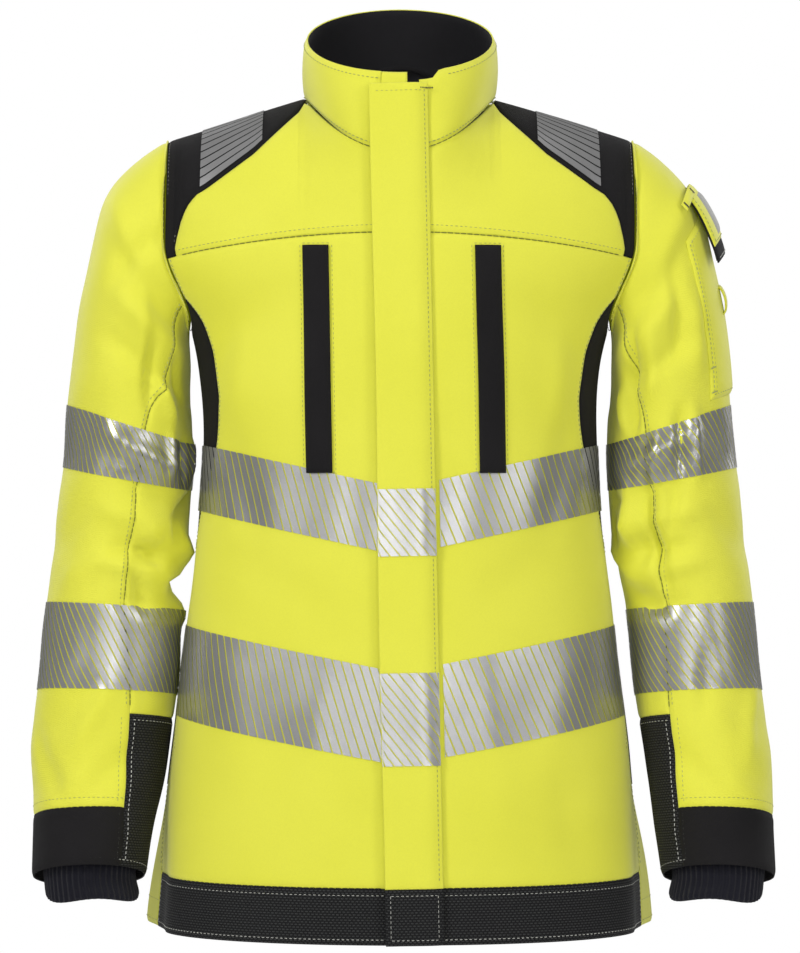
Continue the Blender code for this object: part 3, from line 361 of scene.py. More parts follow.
TRUNK_FRONT_FOLDS = [
    ((0.150, 0.440), (0.090, 0.500), 0.014, -0.0022), ((-0.150, 0.440), (-0.090, 0.505), 0.014, -0.0022),
    ((0.120, 0.300), (0.060, 0.255), 0.016, -0.0016), ((-0.130, 0.290), (-0.050, 0.250), 0.016, -0.0018),
    ((0.040, 0.440), (0.030, 0.240), 0.014, -0.0014), ((-0.034, 0.460), (-0.036, 0.230), 0.012, -0.0014),
    ((0.150, 0.250), (0.100, 0.100), 0.020, 0.0016), ((-0.150, 0.250), (-0.110, 0.090), 0.020, 0.0018),
    ((0.110, 0.560), (0.050, 0.580), 0.012, 0.0012), ((-0.110, 0.556), (-0.050, 0.584), 0.012, 0.0012),
    ((-0.135, 0.400), (-0.110, 0.300), 0.012, -0.0026), ((0.135, 0.410), (0.112, 0.300), 0.012, -0.0026),
    ((-0.118, 0.470), (-0.128, 0.400), 0.010, 0.0022), ((0.124, 0.470), (0.120, 0.390), 0.010, 0.0022),
    ((-0.060, 0.220), (-0.070, 0.060), 0.016, 0.0016), ((0.070, 0.230), (0.080, 0.060), 0.016, 0.0016),
    ((-0.030, 0.120), (-0.020, 0.050), 0.010, -0.0014), ((0.120, 0.130), (0.140, 0.050), 0.014, -0.0018),
]
TRUNK_BACK_FOLDS = [
    ((0.140, 0.470), (0.030, 0.400), 0.018, 0.0030), ((-0.140, 0.470), (-0.030, 0.400), 0.018, 0.0030),
    ((0.130, 0.420), (0.020, 0.350), 0.016, -0.0026), ((-0.130, 0.420), (-0.020, 0.350), 0.016, -0.0026),
    ((0.070, 0.300), (0.090, 0.060), 0.020, 0.0026), ((-0.070, 0.300), (-0.090, 0.060), 0.020, 0.0026),
    ((0.000, 0.360), (0.006, 0.080), 0.018, -0.0024),
]


def ripple(place, pitch, depth, seed):
    """Gentle all-over unevenness of a cloth laid by hand."""
    total = 0.0
    for i in range(4):
        a = 1.3 + 2.1 * i + seed
        direction = np.array([math.cos(a), math.sin(2.3 * a) * 0.6, math.sin(a)])
        total = total + np.sin(place @ direction * (2 * math.pi / (pitch * (1 + 0.37 * i))) + 2.7 * i + seed)
    return depth * total / 4


def fold_height(place, normal, side, front_folds, back_folds):
    seen = place[..., [0, 2]] * np.array([side, 1.0])
    fore = ease(0.5 - 1.6 * normal[..., 1])
    aft = ease(0.5 + 1.6 * normal[..., 1])
    front = sum(crease(seen, *c) for c in front_folds)
    back = sum(crease(seen, *c) for c in back_folds)
    return front * fore + back * aft


def trunk(u, g, lift=0.0):
    base = trunk_form(u, g)
    normal = facing(trunk_form, u, g, (0.5, 0.001))
    height = fold_height(base, normal, 1, TRUNK_FRONT_FOLDS, TRUNK_BACK_FOLDS)
    calm = ease((np.linalg.norm(base[..., :2] - np.array([0.0, -0.10]), axis=-1) - 0.02) / 0.05)
    height = height + ripple(base, 0.110, 0.0013, 0.4) * calm + ripple(base, 0.034, 0.00010, 1.9)
    low = ease(1 - g / 0.150) * (g < 0.2)
    round_side = np.abs((u + 180) % 360 - 180)
    height = height + low * (0.0150 * np.exp(-((round_side - 103) / 9) ** 2)
                             - 0.0046 * np.exp(-((round_side - 82) / 8) ** 2))
    return base + normal * (height + lift)[..., None] - HANG


def arm(side):
    """The folded surface of one sleeve."""
    def place(alpha, s, lift=0.0):
        base = sleeve_form(alpha, s)
        normal = facing(sleeve_form, alpha, s, (1.0, 0.02))
        height = fold_height(base, normal, 1, SLEEVE_FRONT_FOLDS, SLEEVE_BACK_FOLDS)
        height = height + ripple(base, 0.075, 0.0016, 0.9 + side) + ripple(base, 0.030, 0.00012,
                                                                           2.2 + side)
        turned = np.stack([((alpha + 124.0) % 360 - 124.0) * ROUND + 0 * base[..., 2], base[..., 2]], -1)
        for start, end, width, depth in ELBOW_FOLDS[side]:
            height = height + crease(turned, (start[0] * ROUND, start[1]), (end[0] * ROUND, end[1]),
                                     width,
                                     depth * (1.5 if max(start[0], end[0]) < 150 else 1.0))
        height = height * ease(s / 1.2) * (1 - 0.5 * ease(s - 9.6))
        point = base + normal * (height + lift)[..., None]
        if side < 0:
            inward = (1 - np.cos(np.radians(alpha))) / 2
            cuff = ease((s - 8.6) / 1.6)
            point[..., 0] -= 0.0062 * cuff + 0.0100 * inward * ease((s - 6.4) / 1.6) * (1 - cuff)
        point[..., 0] *= side
        return point - HANG
    return place


def neck(u, t, lift=0.0):
    base = collar_form(u, t)
    normal = facing(collar_form, u, t, (0.5, 0.01))
    waves = ripple(base, 0.06, 0.0007, 0.3)
    bulge = 0.0016 * np.sin(np.clip(t, 0, 1) * math.pi)
    return base + normal * (waves + bulge + lift)[..., None] - HANG


def on_placket(across, out, along):
    """A place on the flat strip down the front: across it, out from it and up it."""
    across, out, along = np.broadcast_arrays(*(np.asarray(v, float) for v in (across, out, along)))
    low = np.array([placket_x(0.0), FRONT_Y_HEM, 0.0])
    high = np.array([placket_x(COLLAR_FRONT_Z), FRONT_Y_COLLAR, COLLAR_FRONT_Z])
    up = (high - low) / np.linalg.norm(high - low)
    back = np.array([0, 1.0, 0]) - up * up[1]
    back = back / np.linalg.norm(back)
    left = np.cross(back, up)
    return low + left * across[..., None] - back * out[..., None] + up * along[..., None] - HANG


# ---------------------------------------------------------------- meshes
def spaced_shares(length, step, fine=True):
    """Shares of a panel's width with extra lines close to both edges, where it rolls into its seams."""
    near = [d for d in (0.0008, 0.0018, 0.0032, 0.0055) if fine and d < length * 0.3]
    start = near[-1] if near else 0.0
    count = max(int(round((length - 2 * start) / step)), 2)
    inner = np.linspace(start, length - start, count + 1)
    return np.concatenate([[0.0], near[:-1], inner, [length - d for d in near[:-1][::-1]],
                           [length]]) / length \
        if near else inner / length


def region(left, right, bottom, top, columns, rows):
    """Places of a patch whose left and right edges depend on v, bottom and top on u."""
    cs, rs = np.meshgrid(columns, rows)
    u = left(0.3) + (right(0.3) - left(0.3)) * cs
    v = rs * 0
    for _ in range(14):
        v = bottom(u) + (top(u) - bottom(u)) * rs
        u = left(v) + (right(v) - left(v)) * cs
    return u, v


def run_lengths(points, axis):
    step = np.linalg.norm(np.diff(points, axis=axis), axis=-1)
    pad = [(0, 0), (0, 0)]
    pad[axis] = (1, 0)
    return np.pad(np.cumsum(step, axis), pad)


def edge_distance(points, edges):
    """Distance along the cloth to the nearest of its named edges: l, r, b, t."""
    along, up = run_lengths(points, 1), run_lengths(points, 0)
    near = np.full(points.shape[:2], 1.0)
    for name, reach in (("l", along), ("r", along[:, -1:] - along), ("b", up), ("t", up[-1:] - up)):
        if name in edges:
            near = np.minimum(near, reach)
    return near


def mesh_piece(name, points, faces, look, uvs=None):
    mesh = bpy.data.meshes.new(name)
    mesh.from_pydata(np.asarray(points, float).reshape(-1, 3).tolist(), [], np.asarray(faces).tolist())
    mesh.polygons.foreach_set("use_smooth", [True] * len(mesh.polygons))
    if uvs is not None:
        layer = mesh.uv_layers.new(name="cloth")
        loops = np.zeros(len(mesh.loops), np.int32)
        mesh.loops.foreach_get("vertex_index", loops)
        layer.data.foreach_set("uv", np.asarray(uvs, np.float32).reshape(-1, 2)[loops].ravel())
    mesh.materials.append(look)
    made = bpy.data.objects.new(name, mesh)
    bpy.context.scene.collection.objects.link(made)
    return made


def grid_faces(rows, columns, flip=False, around=False):
    i, j = np.meshgrid(np.arange(columns if around else columns - 1), np.arange(rows - 1))
    a = j * columns + i
    b = j * columns + (i + 1) % columns
    quads = np.stack([a, b, b + columns, a + columns], -1).reshape(-1, 4)
    return quads[:, ::-1] if flip else quads


def lay(name, points, look, flip=False, thickness=FABRIC, around=False):
    """A sheet of cloth through a grid of points, its weave running along the grid."""
    rows, columns = points.shape[:2]
    along, up = run_lengths(points, 1), run_lengths(points, 0)
    along = along - along[:, columns // 2:columns // 2 + 1]
    uvs = np.stack([along, up], -1)
    made = mesh_piece(name, points, grid_faces(rows, columns, flip, around), look, uvs)
    if thickness:
        solid = made.modifiers.new("thickness", "SOLIDIFY")
        solid.thickness = thickness
        solid.offset = -1
    return made


def declare(points):
    """Works out, in whole millimetres, the flat cut that a grid of points was laid from, but keeps nothing of it.

    A side narrower or shorter than LEAST_SIDE is raised to it. A very narrow or very curved cut is raised to
    LEAST_SIDE and LEAST_FILL.
    """
    width = max(round(float(run_lengths(points, 1)[:, -1].max()), 3), LEAST_SIDE)
    length = max(round(float(run_lengths(points, 0)[-1].max()), 3), LEAST_SIDE)


def panel(name, form, places, look, nodes, body="root", bend=None, flip=False, dips="lrbt",
          lift=0.0, dip=SEAM_DIP, roll=0.0022, thickness=FABRIC):
    """One cut piece of the garment: laid on its form, rolled into its seams and put on its body."""
    u, v = places
    points = form(u, v, lift + 0 * u)
    depth = np.exp(-(edge_distance(points, dips) / roll) ** 1.5) if dips else 0 * u
    points = form(u, v, lift - dip * depth)
    made = lay(name, points, look, flip, thickness)
    attach(made, body, bend)
    if nodes:
        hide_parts(*nodes)
    declare(points)
    return made


def attach(made, body, bend=None):
    if bend:
        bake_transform(made)
    else:
        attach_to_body(made, body)


def signed(side, form):
    """A torso form drawn for the +X side, on either side."""
    def place(u, v, lift=0.0):
        return form(side * u, v, lift)
    return place


def degrees_for(length, z):
    return np.degrees(length / curve_through(HALF_WIDTHS, np.minimum(z, ARMPIT_Z)))


def trunk_level(g):
    return np.where(g > RIDGE, 2 * RIDGE - g, g)


def placket_phi(side, reach):
    """Trunk angle of a line this far out from the placket's centre, on one side."""
    def at(g):
        h = trunk_level(g)
        z = trunk_form(5.0, h)[..., 2]
        x = side * placket_x(z) + reach
        return np.degrees(np.arcsin(x / curve_through(HALF_WIDTHS, np.minimum(h, YOKE_LEVEL))))
    return at


def front_seam_level(phi):
    x = YOKE_HALF * cross_section(phi)[0]
    return arch_level(x, YOKE_SEAM_Z - YOKE_SEAM_DROP * (x / SHOULDER_X) ** 2)


def patch_level(phi):
    x = YOKE_HALF * cross_section(phi)[0]
    return np.maximum(arch_level(x, straight_through(PATCH_EDGE, x)), front_seam_level(phi))


def patch_level_back(phi):
    x = YOKE_HALF * cross_section(phi)[0]
    return 2 * RIDGE - np.maximum(arch_level(x, straight_through(PATCH_EDGE, x)), BACK_SEAM_Z)


def panel_edge(v):
    """Outer edge of a front or back: side seam, side panel, then armhole."""
    return np.minimum(straight_through(SIDE_EDGE, v), armhole_phi(v))


def angle_at(x):
    return math.degrees(math.asin(x / YOKE_HALF))


def constant(value):
    def at(v):
        return value + 0 * np.asarray(v, float)
    return at


# ---------------------------------------------------------------- finishes
def add_group(name, inputs, outputs):
    """An empty node group with value inputs and the outputs asked for."""
    group = bpy.data.node_groups.new(name, "ShaderNodeTree")
    for label, value in inputs:
        group.interface.new_socket(label, in_out="INPUT", socket_type="NodeSocketFloat").default_value = value
    for label in outputs:
        group.interface.new_socket(label, in_out="OUTPUT", socket_type="NodeSocketFloat")
    return group, group.nodes.new("NodeGroupInput"), group.nodes.new("NodeGroupOutput")


def maths(tree, operation, *values):
    node = tree.nodes.new("ShaderNodeMath")
    node.operation = operation
    for socket, value in zip(node.inputs, values):
        if isinstance(value, (int, float)):
            socket.default_value = value
        else:
            tree.links.new(value, socket)
    return node.outputs[0]


def noise(tree, vector, scale, detail, rough=0.55):
    node = tree.nodes.new("ShaderNodeTexNoise")
    node.inputs["Scale"].default_value = scale
    node.inputs["Detail"].default_value = detail
    node.inputs["Roughness"].default_value = rough
    tree.links.new(vector, node.inputs["Vector"])
    return node.outputs["Fac"]


def cloth_axes(tree):
    """Warp and weft distance along the cloth, in metres."""
    uv = tree.nodes.new("ShaderNodeUVMap")
    uv.uv_map = "cloth"
    parts = tree.nodes.new("ShaderNodeSeparateXYZ")
    tree.links.new(uv.outputs["UV"], parts.inputs[0])
    return uv.outputs["UV"], parts.outputs[0], parts.outputs[1]


def solid_axes(tree):
    return tree.nodes.new("ShaderNodeTexCoord").outputs["Object"]


def wave(tree, value, pitch):
    """0 to 1 and back once each pitch."""
    turns = maths(tree, "DIVIDE", value, pitch)
    return maths(tree, "MULTIPLY_ADD", maths(tree, "SINE", maths(tree, "MULTIPLY", turns, 2 * math.pi)),
                 0.5, 0.5)


def twill_group():
    """Diagonal ribs of a twill with the yarns crossing them."""
    tree, given, out = add_group("twill weave", [("Pitch", 0.0009), ("Yarn", 0.35)], ["Height"])
    uv, warp, weft = cloth_axes(tree)
    drift = maths(tree, "MULTIPLY", noise(tree, uv, 160.0, 2.0), 0.0009)
    slant = maths(tree, "ADD", maths(tree, "MULTIPLY_ADD", weft, 0.62, warp), drift)
    ribs = wave(tree, slant, given.outputs["Pitch"])
    yarns = wave(tree, weft, maths(tree, "MULTIPLY", given.outputs["Pitch"], 0.55))
    crossed = maths(tree, "MULTIPLY", yarns, given.outputs["Yarn"])
    tree.links.new(maths(tree, "ADD", ribs, crossed), out.inputs["Height"])
    return tree


def handling_group():
    """Broad and fine tone changes of cloth that has been washed and worn, with its lint and creasing."""
    tree, given, out = add_group("handled cloth", [("Broad", 9.0), ("Fine", 900.0)],
                                 ["Tone", "Grain", "Creasing"])
    place = solid_axes(tree)
    broad = tree.nodes.new("ShaderNodeTexNoise")
    broad.inputs["Detail"].default_value = 5.0
    tree.links.new(place, broad.inputs["Vector"])
    tree.links.new(given.outputs["Broad"], broad.inputs["Scale"])
    fine = tree.nodes.new("ShaderNodeTexNoise")
    fine.inputs["Detail"].default_value = 3.0
    tree.links.new(place, fine.inputs["Vector"])
    tree.links.new(given.outputs["Fine"], fine.inputs["Scale"])
    tree.links.new(broad.outputs["Fac"], out.inputs["Tone"])
    tree.links.new(fine.outputs["Fac"], out.inputs["Grain"])
    tree.links.new(noise(tree, place, 95.0, 4.0, 0.5), out.inputs["Creasing"])
    return tree


def ripstop_group():
    """Raised cords of a reinforced grid cloth: short thick floats in offset rows."""
    tree, given, out = add_group("reinforced grid", [("Pitch", 0.0020)], ["Cord", "Height"])
    uv, warp, weft = cloth_axes(tree)
    pitch = given.outputs["Pitch"]
    row = maths(tree, "FLOOR", maths(tree, "DIVIDE", weft, pitch))
    offset = maths(tree, "MULTIPLY", maths(tree, "MODULO", row, 2.0), maths(tree, "MULTIPLY", pitch, 0.8))
    along = maths(tree, "FRACT", maths(tree, "DIVIDE", maths(tree, "ADD", warp, offset),
                                       maths(tree, "MULTIPLY", pitch, 1.6)))
    up = maths(tree, "FRACT", maths(tree, "DIVIDE", weft, pitch))
    float_up = maths(tree, "MULTIPLY", maths(tree, "SUBTRACT", 0.34, maths(tree, "ABSOLUTE",
                     maths(tree, "SUBTRACT", up, 0.5))), 6.0)
    float_along = maths(tree, "MULTIPLY", maths(tree, "SUBTRACT", 0.40, maths(tree, "ABSOLUTE",
                        maths(tree, "SUBTRACT", along, 0.5))), 8.0)
    cord = maths(tree, "MINIMUM", float_up, float_along)
    clamp = tree.nodes.new("ShaderNodeClamp")
    tree.links.new(cord, clamp.inputs["Value"])
    worn = maths(tree, "MULTIPLY", clamp.outputs[0],
                 maths(tree, "MULTIPLY_ADD", noise(tree, uv, 300.0, 2.0), 0.9, 0.45))
    tree.links.new(worn, out.inputs["Cord"])
    tree.links.new(clamp.outputs[0], out.inputs["Height"])
    return tree


def knit_group():
    """Loops of a ribbed knit, as rows of small Vs."""
    tree, given, out = add_group("knit loops", [("Pitch", 0.0016)], ["Height"])
    _, warp, weft = cloth_axes(tree)
    bend = maths(tree, "ABSOLUTE", maths(tree, "SUBTRACT", maths(tree, "FRACT",
                 maths(tree, "DIVIDE", warp, given.outputs["Pitch"])), 0.5))
    slant = maths(tree, "ADD", weft, maths(tree, "MULTIPLY", bend, 0.0014))
    tree.links.new(wave(tree, slant, 0.0012), out.inputs["Height"])
    return tree


def bead_group():
    """Glass beads of the reflective film: sparkle, and the faint rubbing of its surface."""
    tree, given, out = add_group("reflective beads", [("Size", 2600.0)], ["Sparkle", "Rubbed"])
    place = solid_axes(tree)
    cells = tree.nodes.new("ShaderNodeTexVoronoi")
    tree.links.new(place, cells.inputs["Vector"])
    tree.links.new(given.outputs["Size"], cells.inputs["Scale"])
    tree.links.new(cells.outputs["Distance"], out.inputs["Sparkle"])
    tree.links.new(noise(tree, place, 38.0, 6.0, 0.62), out.inputs["Rubbed"])
    return tree


TWILL = twill_group()
HANDLING = handling_group()
RIPSTOP_GRID = ripstop_group()
KNIT_LOOPS = knit_group()
BEADS = bead_group()


def start_finish(name, roughness, metallic=0.0, sheen=0.0, sheen_rough=0.5, specular=0.5):
    """A material with its shader's even values set, and its node tree."""
    made = bpy.data.materials.new(name)
    made.use_nodes = True
    shader = made.node_tree.nodes["Principled BSDF"]
    shader.inputs["Roughness"].default_value = roughness
    shader.inputs["Metallic"].default_value = metallic
    shader.inputs["Sheen Weight"].default_value = sheen
    shader.inputs["Sheen Roughness"].default_value = sheen_rough
    shader.inputs["Specular IOR Level"].default_value = specular
    return made, made.node_tree, shader


def use_group(tree, group, **values):
    node = tree.nodes.new("ShaderNodeGroup")
    node.node_tree = group
    for label, value in values.items():
        node.inputs[label].default_value = value
    return node.outputs


def blend_colours(tree, low, high, share, low_at=0.3, high_at=0.7):
    ramp = tree.nodes.new("ShaderNodeValToRGB")
    ramp.color_ramp.elements[0].position = low_at
    ramp.color_ramp.elements[1].position = high_at
    ramp.color_ramp.elements[0].color = (*low, 1)
    ramp.color_ramp.elements[1].color = (*high, 1)
    tree.links.new(share, ramp.inputs["Fac"])
    return ramp.outputs["Color"]


def mix_colours(tree, share, a, b, way="MIX"):
    node = tree.nodes.new("ShaderNodeMix")
    node.data_type = "RGBA"
    node.blend_type = way
    for socket, value in zip((node.inputs[0], node.inputs[6], node.inputs[7]), (share, a, b)):
        if isinstance(value, tuple):
            socket.default_value = (*value, 1)
        elif isinstance(value, (int, float)):
            socket.default_value = value
        else:
            tree.links.new(value, socket)
    return node.outputs[2]


def bump(tree, shader, heights, distance):
    """Heights, each with its share, summed into one bump of this depth in metres."""
    total = None
    for height, share in heights:
        part = maths(tree, "MULTIPLY", height, share)
        total = part if total is None else maths(tree, "ADD", total, part)
    node = tree.nodes.new("ShaderNodeBump")
    node.inputs["Distance"].default_value = distance
    node.inputs["Strength"].default_value = 1.0
    tree.links.new(total, node.inputs["Height"])
    tree.links.new(node.outputs[0], shader.inputs["Normal"])


def woven(name, low, high, roughness, sheen, weave_share=0.45, crease_share=1.0, pitch=0.0009,
          specular=0.4):
    """A twill cloth between two tones."""
    made, tree, shader = start_finish(name, roughness, sheen=sheen, specular=specular)
    hand = use_group(tree, HANDLING)
    weave = use_group(tree, TWILL, Pitch=pitch)
    base = blend_colours(tree, low, high, hand["Tone"], 0.34, 0.66)
    ribbed = mix_colours(tree, maths(tree, "MULTIPLY", weave["Height"], 0.10), base, high, "MIX")
    speck = blend_colours(tree, (0.965, 0.965, 0.965), (1.0, 1.0, 1.0), hand["Grain"], 0.35, 0.62)
    tree.links.new(mix_colours(tree, 1.0, ribbed, speck, "MULTIPLY"), shader.inputs["Base Color"])
    tree.links.new(maths(tree, "MULTIPLY_ADD", hand["Grain"], 0.14, roughness - 0.07),
                   shader.inputs["Roughness"])
    bump(tree, shader, [(weave["Height"], weave_share), (hand["Creasing"], crease_share),
                        (hand["Grain"], 0.12)],
         0.00028)
    return made


def hi_vis_cloth():
    made = woven("hi_vis_fabric", (0.655, 0.646, 0.038), (0.688, 0.676, 0.048), 0.66, 0.25, 0.28, 0.2,
                 specular=0.4)
    shader = made.node_tree.nodes["Principled BSDF"]
    # The emission is a painted glow that lifts the shaded folds towards green, standing in for the cloth's
    # fluorescence.
    shader.inputs["Emission Color"].default_value = (0.52, 0.62, 0.0, 1)
    shader.inputs["Emission Strength"].default_value = 0.085
    return made


def ripstop_cloth():
    made, tree, shader = start_finish("black_ripstop", 0.78, sheen=0.03, specular=0.22)
    hand = use_group(tree, HANDLING)
    grid = use_group(tree, RIPSTOP_GRID)
    ground = blend_colours(tree, (0.0022, 0.0022, 0.0026), (0.005, 0.005, 0.0056), hand["Tone"])
    tree.links.new(mix_colours(tree, grid["Cord"], ground, (0.030, 0.031, 0.031)),
                   shader.inputs["Base Color"])
    tree.links.new(maths(tree, "MULTIPLY_ADD", grid["Cord"], -0.18, 0.80), shader.inputs["Roughness"])
    bump(tree, shader, [(grid["Height"], 1.0), (hand["Creasing"], 0.7)], 0.0005)
    return made


def knit_cloth():
    made, tree, shader = start_finish("knit_rib", 0.90, sheen=0.10, specular=0.15)
    hand = use_group(tree, HANDLING)
    loops = use_group(tree, KNIT_LOOPS)
    tree.links.new(blend_colours(tree, (0.0045, 0.0045, 0.0090), (0.0095, 0.0095, 0.0160), hand["Tone"]),
                   shader.inputs["Base Color"])
    bump(tree, shader, [(loops["Height"], 0.8), (hand["Grain"], 0.5)], 0.0004)
    return made


def reflective_film():
    made, tree, shader = start_finish("reflective_tape", 0.30, metallic=0.62, specular=0.6)
    beads = use_group(tree, BEADS)
    silver = blend_colours(tree, (0.330, 0.328, 0.328), (0.360, 0.358, 0.358), beads["Rubbed"], 0.32,
                           0.68)
    spark = blend_colours(tree, (0.82, 0.82, 0.82), (1.0, 1.0, 1.0), beads["Sparkle"], 0.1, 0.6)
    tree.links.new(mix_colours(tree, 1.0, silver, spark, "MULTIPLY"), shader.inputs["Base Color"])
    tree.links.new(maths(tree, "MULTIPLY_ADD", beads["Rubbed"], 0.06, 0.27), shader.inputs["Roughness"])
    bump(tree, shader, [(beads["Sparkle"], 1.0)], 0.00003)
    return made


# Finish for sewing thread and the badge, and also for the painted seam shade strips.
def thread_and_painted_shade_finish(name, colour, roughness=0.6):
    made, tree, shader = start_finish(name, roughness, sheen=0.1, specular=0.4)
    hand = use_group(tree, HANDLING, Fine=1400.0)
    dark = tuple(0.75 * c for c in colour)
    tree.links.new(blend_colours(tree, dark, colour, hand["Grain"]), shader.inputs["Base Color"])
    bump(tree, shader, [(hand["Grain"], 1.0)], 0.0002)
    return made


def metal(name, colour, roughness):
    made, tree, shader = start_finish(name, roughness, metallic=1.0)
    hand = use_group(tree, HANDLING, Fine=900.0)
    worn = tuple(min(1.4 * c, 1.0) for c in colour)
    tree.links.new(blend_colours(tree, colour, worn, hand["Creasing"], 0.5, 0.7),
                   shader.inputs["Base Color"])
    tree.links.new(maths(tree, "MULTIPLY_ADD", hand["Creasing"], 0.2, roughness - 0.1),
                   shader.inputs["Roughness"])
    return made


def moulded_black(name):
    made, tree, shader = start_finish(name, 0.45, specular=0.5)
    hand = use_group(tree, HANDLING, Fine=1200.0)
    tree.links.new(blend_colours(tree, (0.010, 0.010, 0.011), (0.020, 0.020, 0.021), hand["Creasing"]),
                   shader.inputs["Base Color"])
    bump(tree, shader, [(hand["Grain"], 1.0)], 0.00015)
    return made


YELLOW = hi_vis_cloth()
BLACK = woven("black_fabric", (0.0052, 0.0046, 0.0052), (0.0100, 0.0090, 0.0100), 0.82, 0.02, 0.7, 0.8,
              0.0011, 0.20)
RIPSTOP = ripstop_cloth()
KNIT = knit_cloth()
LINING = woven("black_lining", (0.0026, 0.0022, 0.0034), (0.0058, 0.0052, 0.0072), 0.70, 0.03, 0.3, 0.8,
               0.0007, 0.25)
FILM = reflective_film()
YELLOW_THREAD = thread_and_painted_shade_finish("thread_on_yellow", (0.40, 0.43, 0.13))
LIGHT_THREAD = thread_and_painted_shade_finish("thread_on_black", (0.50, 0.50, 0.46))
DARK_THREAD = thread_and_painted_shade_finish("thread_dark", (0.05, 0.05, 0.05))
# Painted seam shade: dark strips laid in the seams' grooves, on yellow and on black cloth, to stand in for their
# shadow.
YELLOW_PAINTED_SEAM_SHADE = thread_and_painted_shade_finish("painted_seam_shade_on_yellow", (0.200, 0.215, 0.026), 0.9)
BLACK_PAINTED_SEAM_SHADE = thread_and_painted_shade_finish("painted_seam_shade_on_black", (0.0025, 0.0025, 0.0028), 0.9)
BADGE = thread_and_painted_shade_finish("plain_badge", (0.42, 0.42, 0.40), 0.7)
ZIP_METAL = metal("zip_metal", (0.30, 0.30, 0.31), 0.38)
ZIP_TEETH = moulded_black("zip_teeth")


# ---------------------------------------------------------------- trunk
def sleeve_bend(side, tag):
    """A sleeve's body name and a line from its armpit outwards; pieces given it are baked in place and left
    without a parent.
    """
    start = np.array([side * 0.1645, 0.0, 0.468]) - HANG
    end = start + np.array([side * 0.0334, 0.0, -0.0097])
    return ("root", f"sleeve_{tag}", tuple(start), tuple(end))


def front_pieces(side, tag):
    form = signed(side, trunk)
    inner = placket_phi(side, PLACKET_HALF)
    rows = spaced_shares(0.49, 0.0048)
    columns = spaced_shares(0.19, 0.0046)
    panel(f"front_{tag}", form, region(inner, panel_edge, constant(HEM_BAND), front_seam_level, columns,
                                       rows),
          YELLOW, [f"front_panel_{tag}"], flip=side < 0)
    panel(f"front_hem_{tag}", form,
          region(inner, constant(90.0), constant(0.0), constant(HEM_BAND), columns,
                 spaced_shares(HEM_BAND, 0.004)),
          RIPSTOP, [f"hem_band_{tag}"], flip=side < 0)

    def yoke_top(phi):
        return np.where(phi < angle_at(PATCH_EDGE[0][0]), neck_level_front(phi), patch_level(phi))
    panel(f"front_yoke_{tag}", form,
          region(inner, constant(angle_at(YOKE_EDGE)), front_seam_level, yoke_top,
                 spaced_shares(0.16, 0.0040),
                 spaced_shares(0.06, 0.004)),
          YELLOW, [f"front_yoke_{tag}"], flip=side < 0)


def shoulder_pieces(side, tag):
    form = signed(side, trunk)
    inner = angle_at(PATCH_EDGE[0][0])

    def outer(v):
        return armhole_phi(trunk_level(v))
    panel(f"shoulder_{tag}", form,
          region(constant(inner), outer, patch_level, patch_level_back, spaced_shares(0.11, 0.0045),
                 spaced_shares(0.20, 0.0045)),
          BLACK, [f"shoulder_patch_{tag}"], flip=side < 0, lift=0.0006)


def side_piece(side, tag):
    form = signed(side, trunk)

    def left(v):
        return straight_through(SIDE_EDGE, v)
    panel(f"side_{tag}", form,
          region(left, lambda v: 180 - left(v), constant(0.292), armhole_level,
                 spaced_shares(0.10, 0.0045),
                 spaced_shares(0.2, 0.0045)),
          BLACK, [f"side_panel_{tag}"], flip=side < 0, lift=-0.0003, dips="lrt")


def back_pieces():
    panel("back", trunk,
          region(lambda v: 180 - panel_edge(v), lambda v: 180 + panel_edge(v), constant(0.0),
                 constant(BACK_SEAM_Z), spaced_shares(0.42, 0.0055), spaced_shares(0.53, 0.0055)),
          YELLOW, ["back_panel"])
    edge = angle_at(YOKE_EDGE)
    corner = angle_at(PATCH_EDGE[0][0])

    def over(u, v, lift=0.0):
        """The back of the shoulders, u in degrees from the centre back."""
        return trunk(u, v, lift)

    def top(u):
        phi = np.abs(u)
        return np.where(phi <= corner, neck_level_back(np.minimum(phi, corner)), patch_level_back(phi))
    panel("back_yoke_cloth", over,
          region(constant(-edge), constant(edge), top, constant(2 * RIDGE - BACK_SEAM_Z),
                 spaced_shares(0.34, 0.005), spaced_shares(0.12, 0.004)),
          YELLOW, ["back_yoke"])


def lining_pieces():
    depth = -0.0046

    def edge(v):
        h = trunk_level(v)
        return np.where(h < ARMPIT_Z, 89.7, armhole_phi(h) - 1.0)

    def front_top(u):
        x = YOKE_HALF * cross_section(u)[0]
        return np.where(x < NECK_HALF + 0.004, neck_level_front(u) - 0.004, RIDGE - 0.0012)
    for side, tag in SIDES:
        panel(f"lining_{tag}", signed(side, trunk),
              region(placket_phi(side, PLACKET_HALF + 0.0015), edge, constant(0.018), front_top,
                     spaced_shares(0.19, 0.010, False), spaced_shares(0.6, 0.012, False)),
              LINING, [f"lining_front_{tag}"], flip=side < 0, lift=depth, dips="",
              thickness=0.0007)

    def back_top(u):
        x = YOKE_HALF * cross_section(np.abs(u))[0]
        return np.where(x < NECK_HALF + 0.004, 2 * RIDGE - neck_level_back(np.abs(u)) - 0.004,
                        RIDGE - 0.0012)

    def inside_back(u, v, lift=0.0):
        return trunk(np.where(v > YOKE_LEVEL, u, 180 - u), np.where(v > YOKE_LEVEL, 2 * RIDGE - v, v),
                     lift)
    panel("lining_behind", inside_back,
          region(lambda v: -edge(v), edge, constant(0.018), back_top, spaced_shares(0.38, 0.010, False),
                 spaced_shares(0.6, 0.012, False)),
          LINING, ["lining_back"], lift=depth, dips="", thickness=0.0007, flip=True)


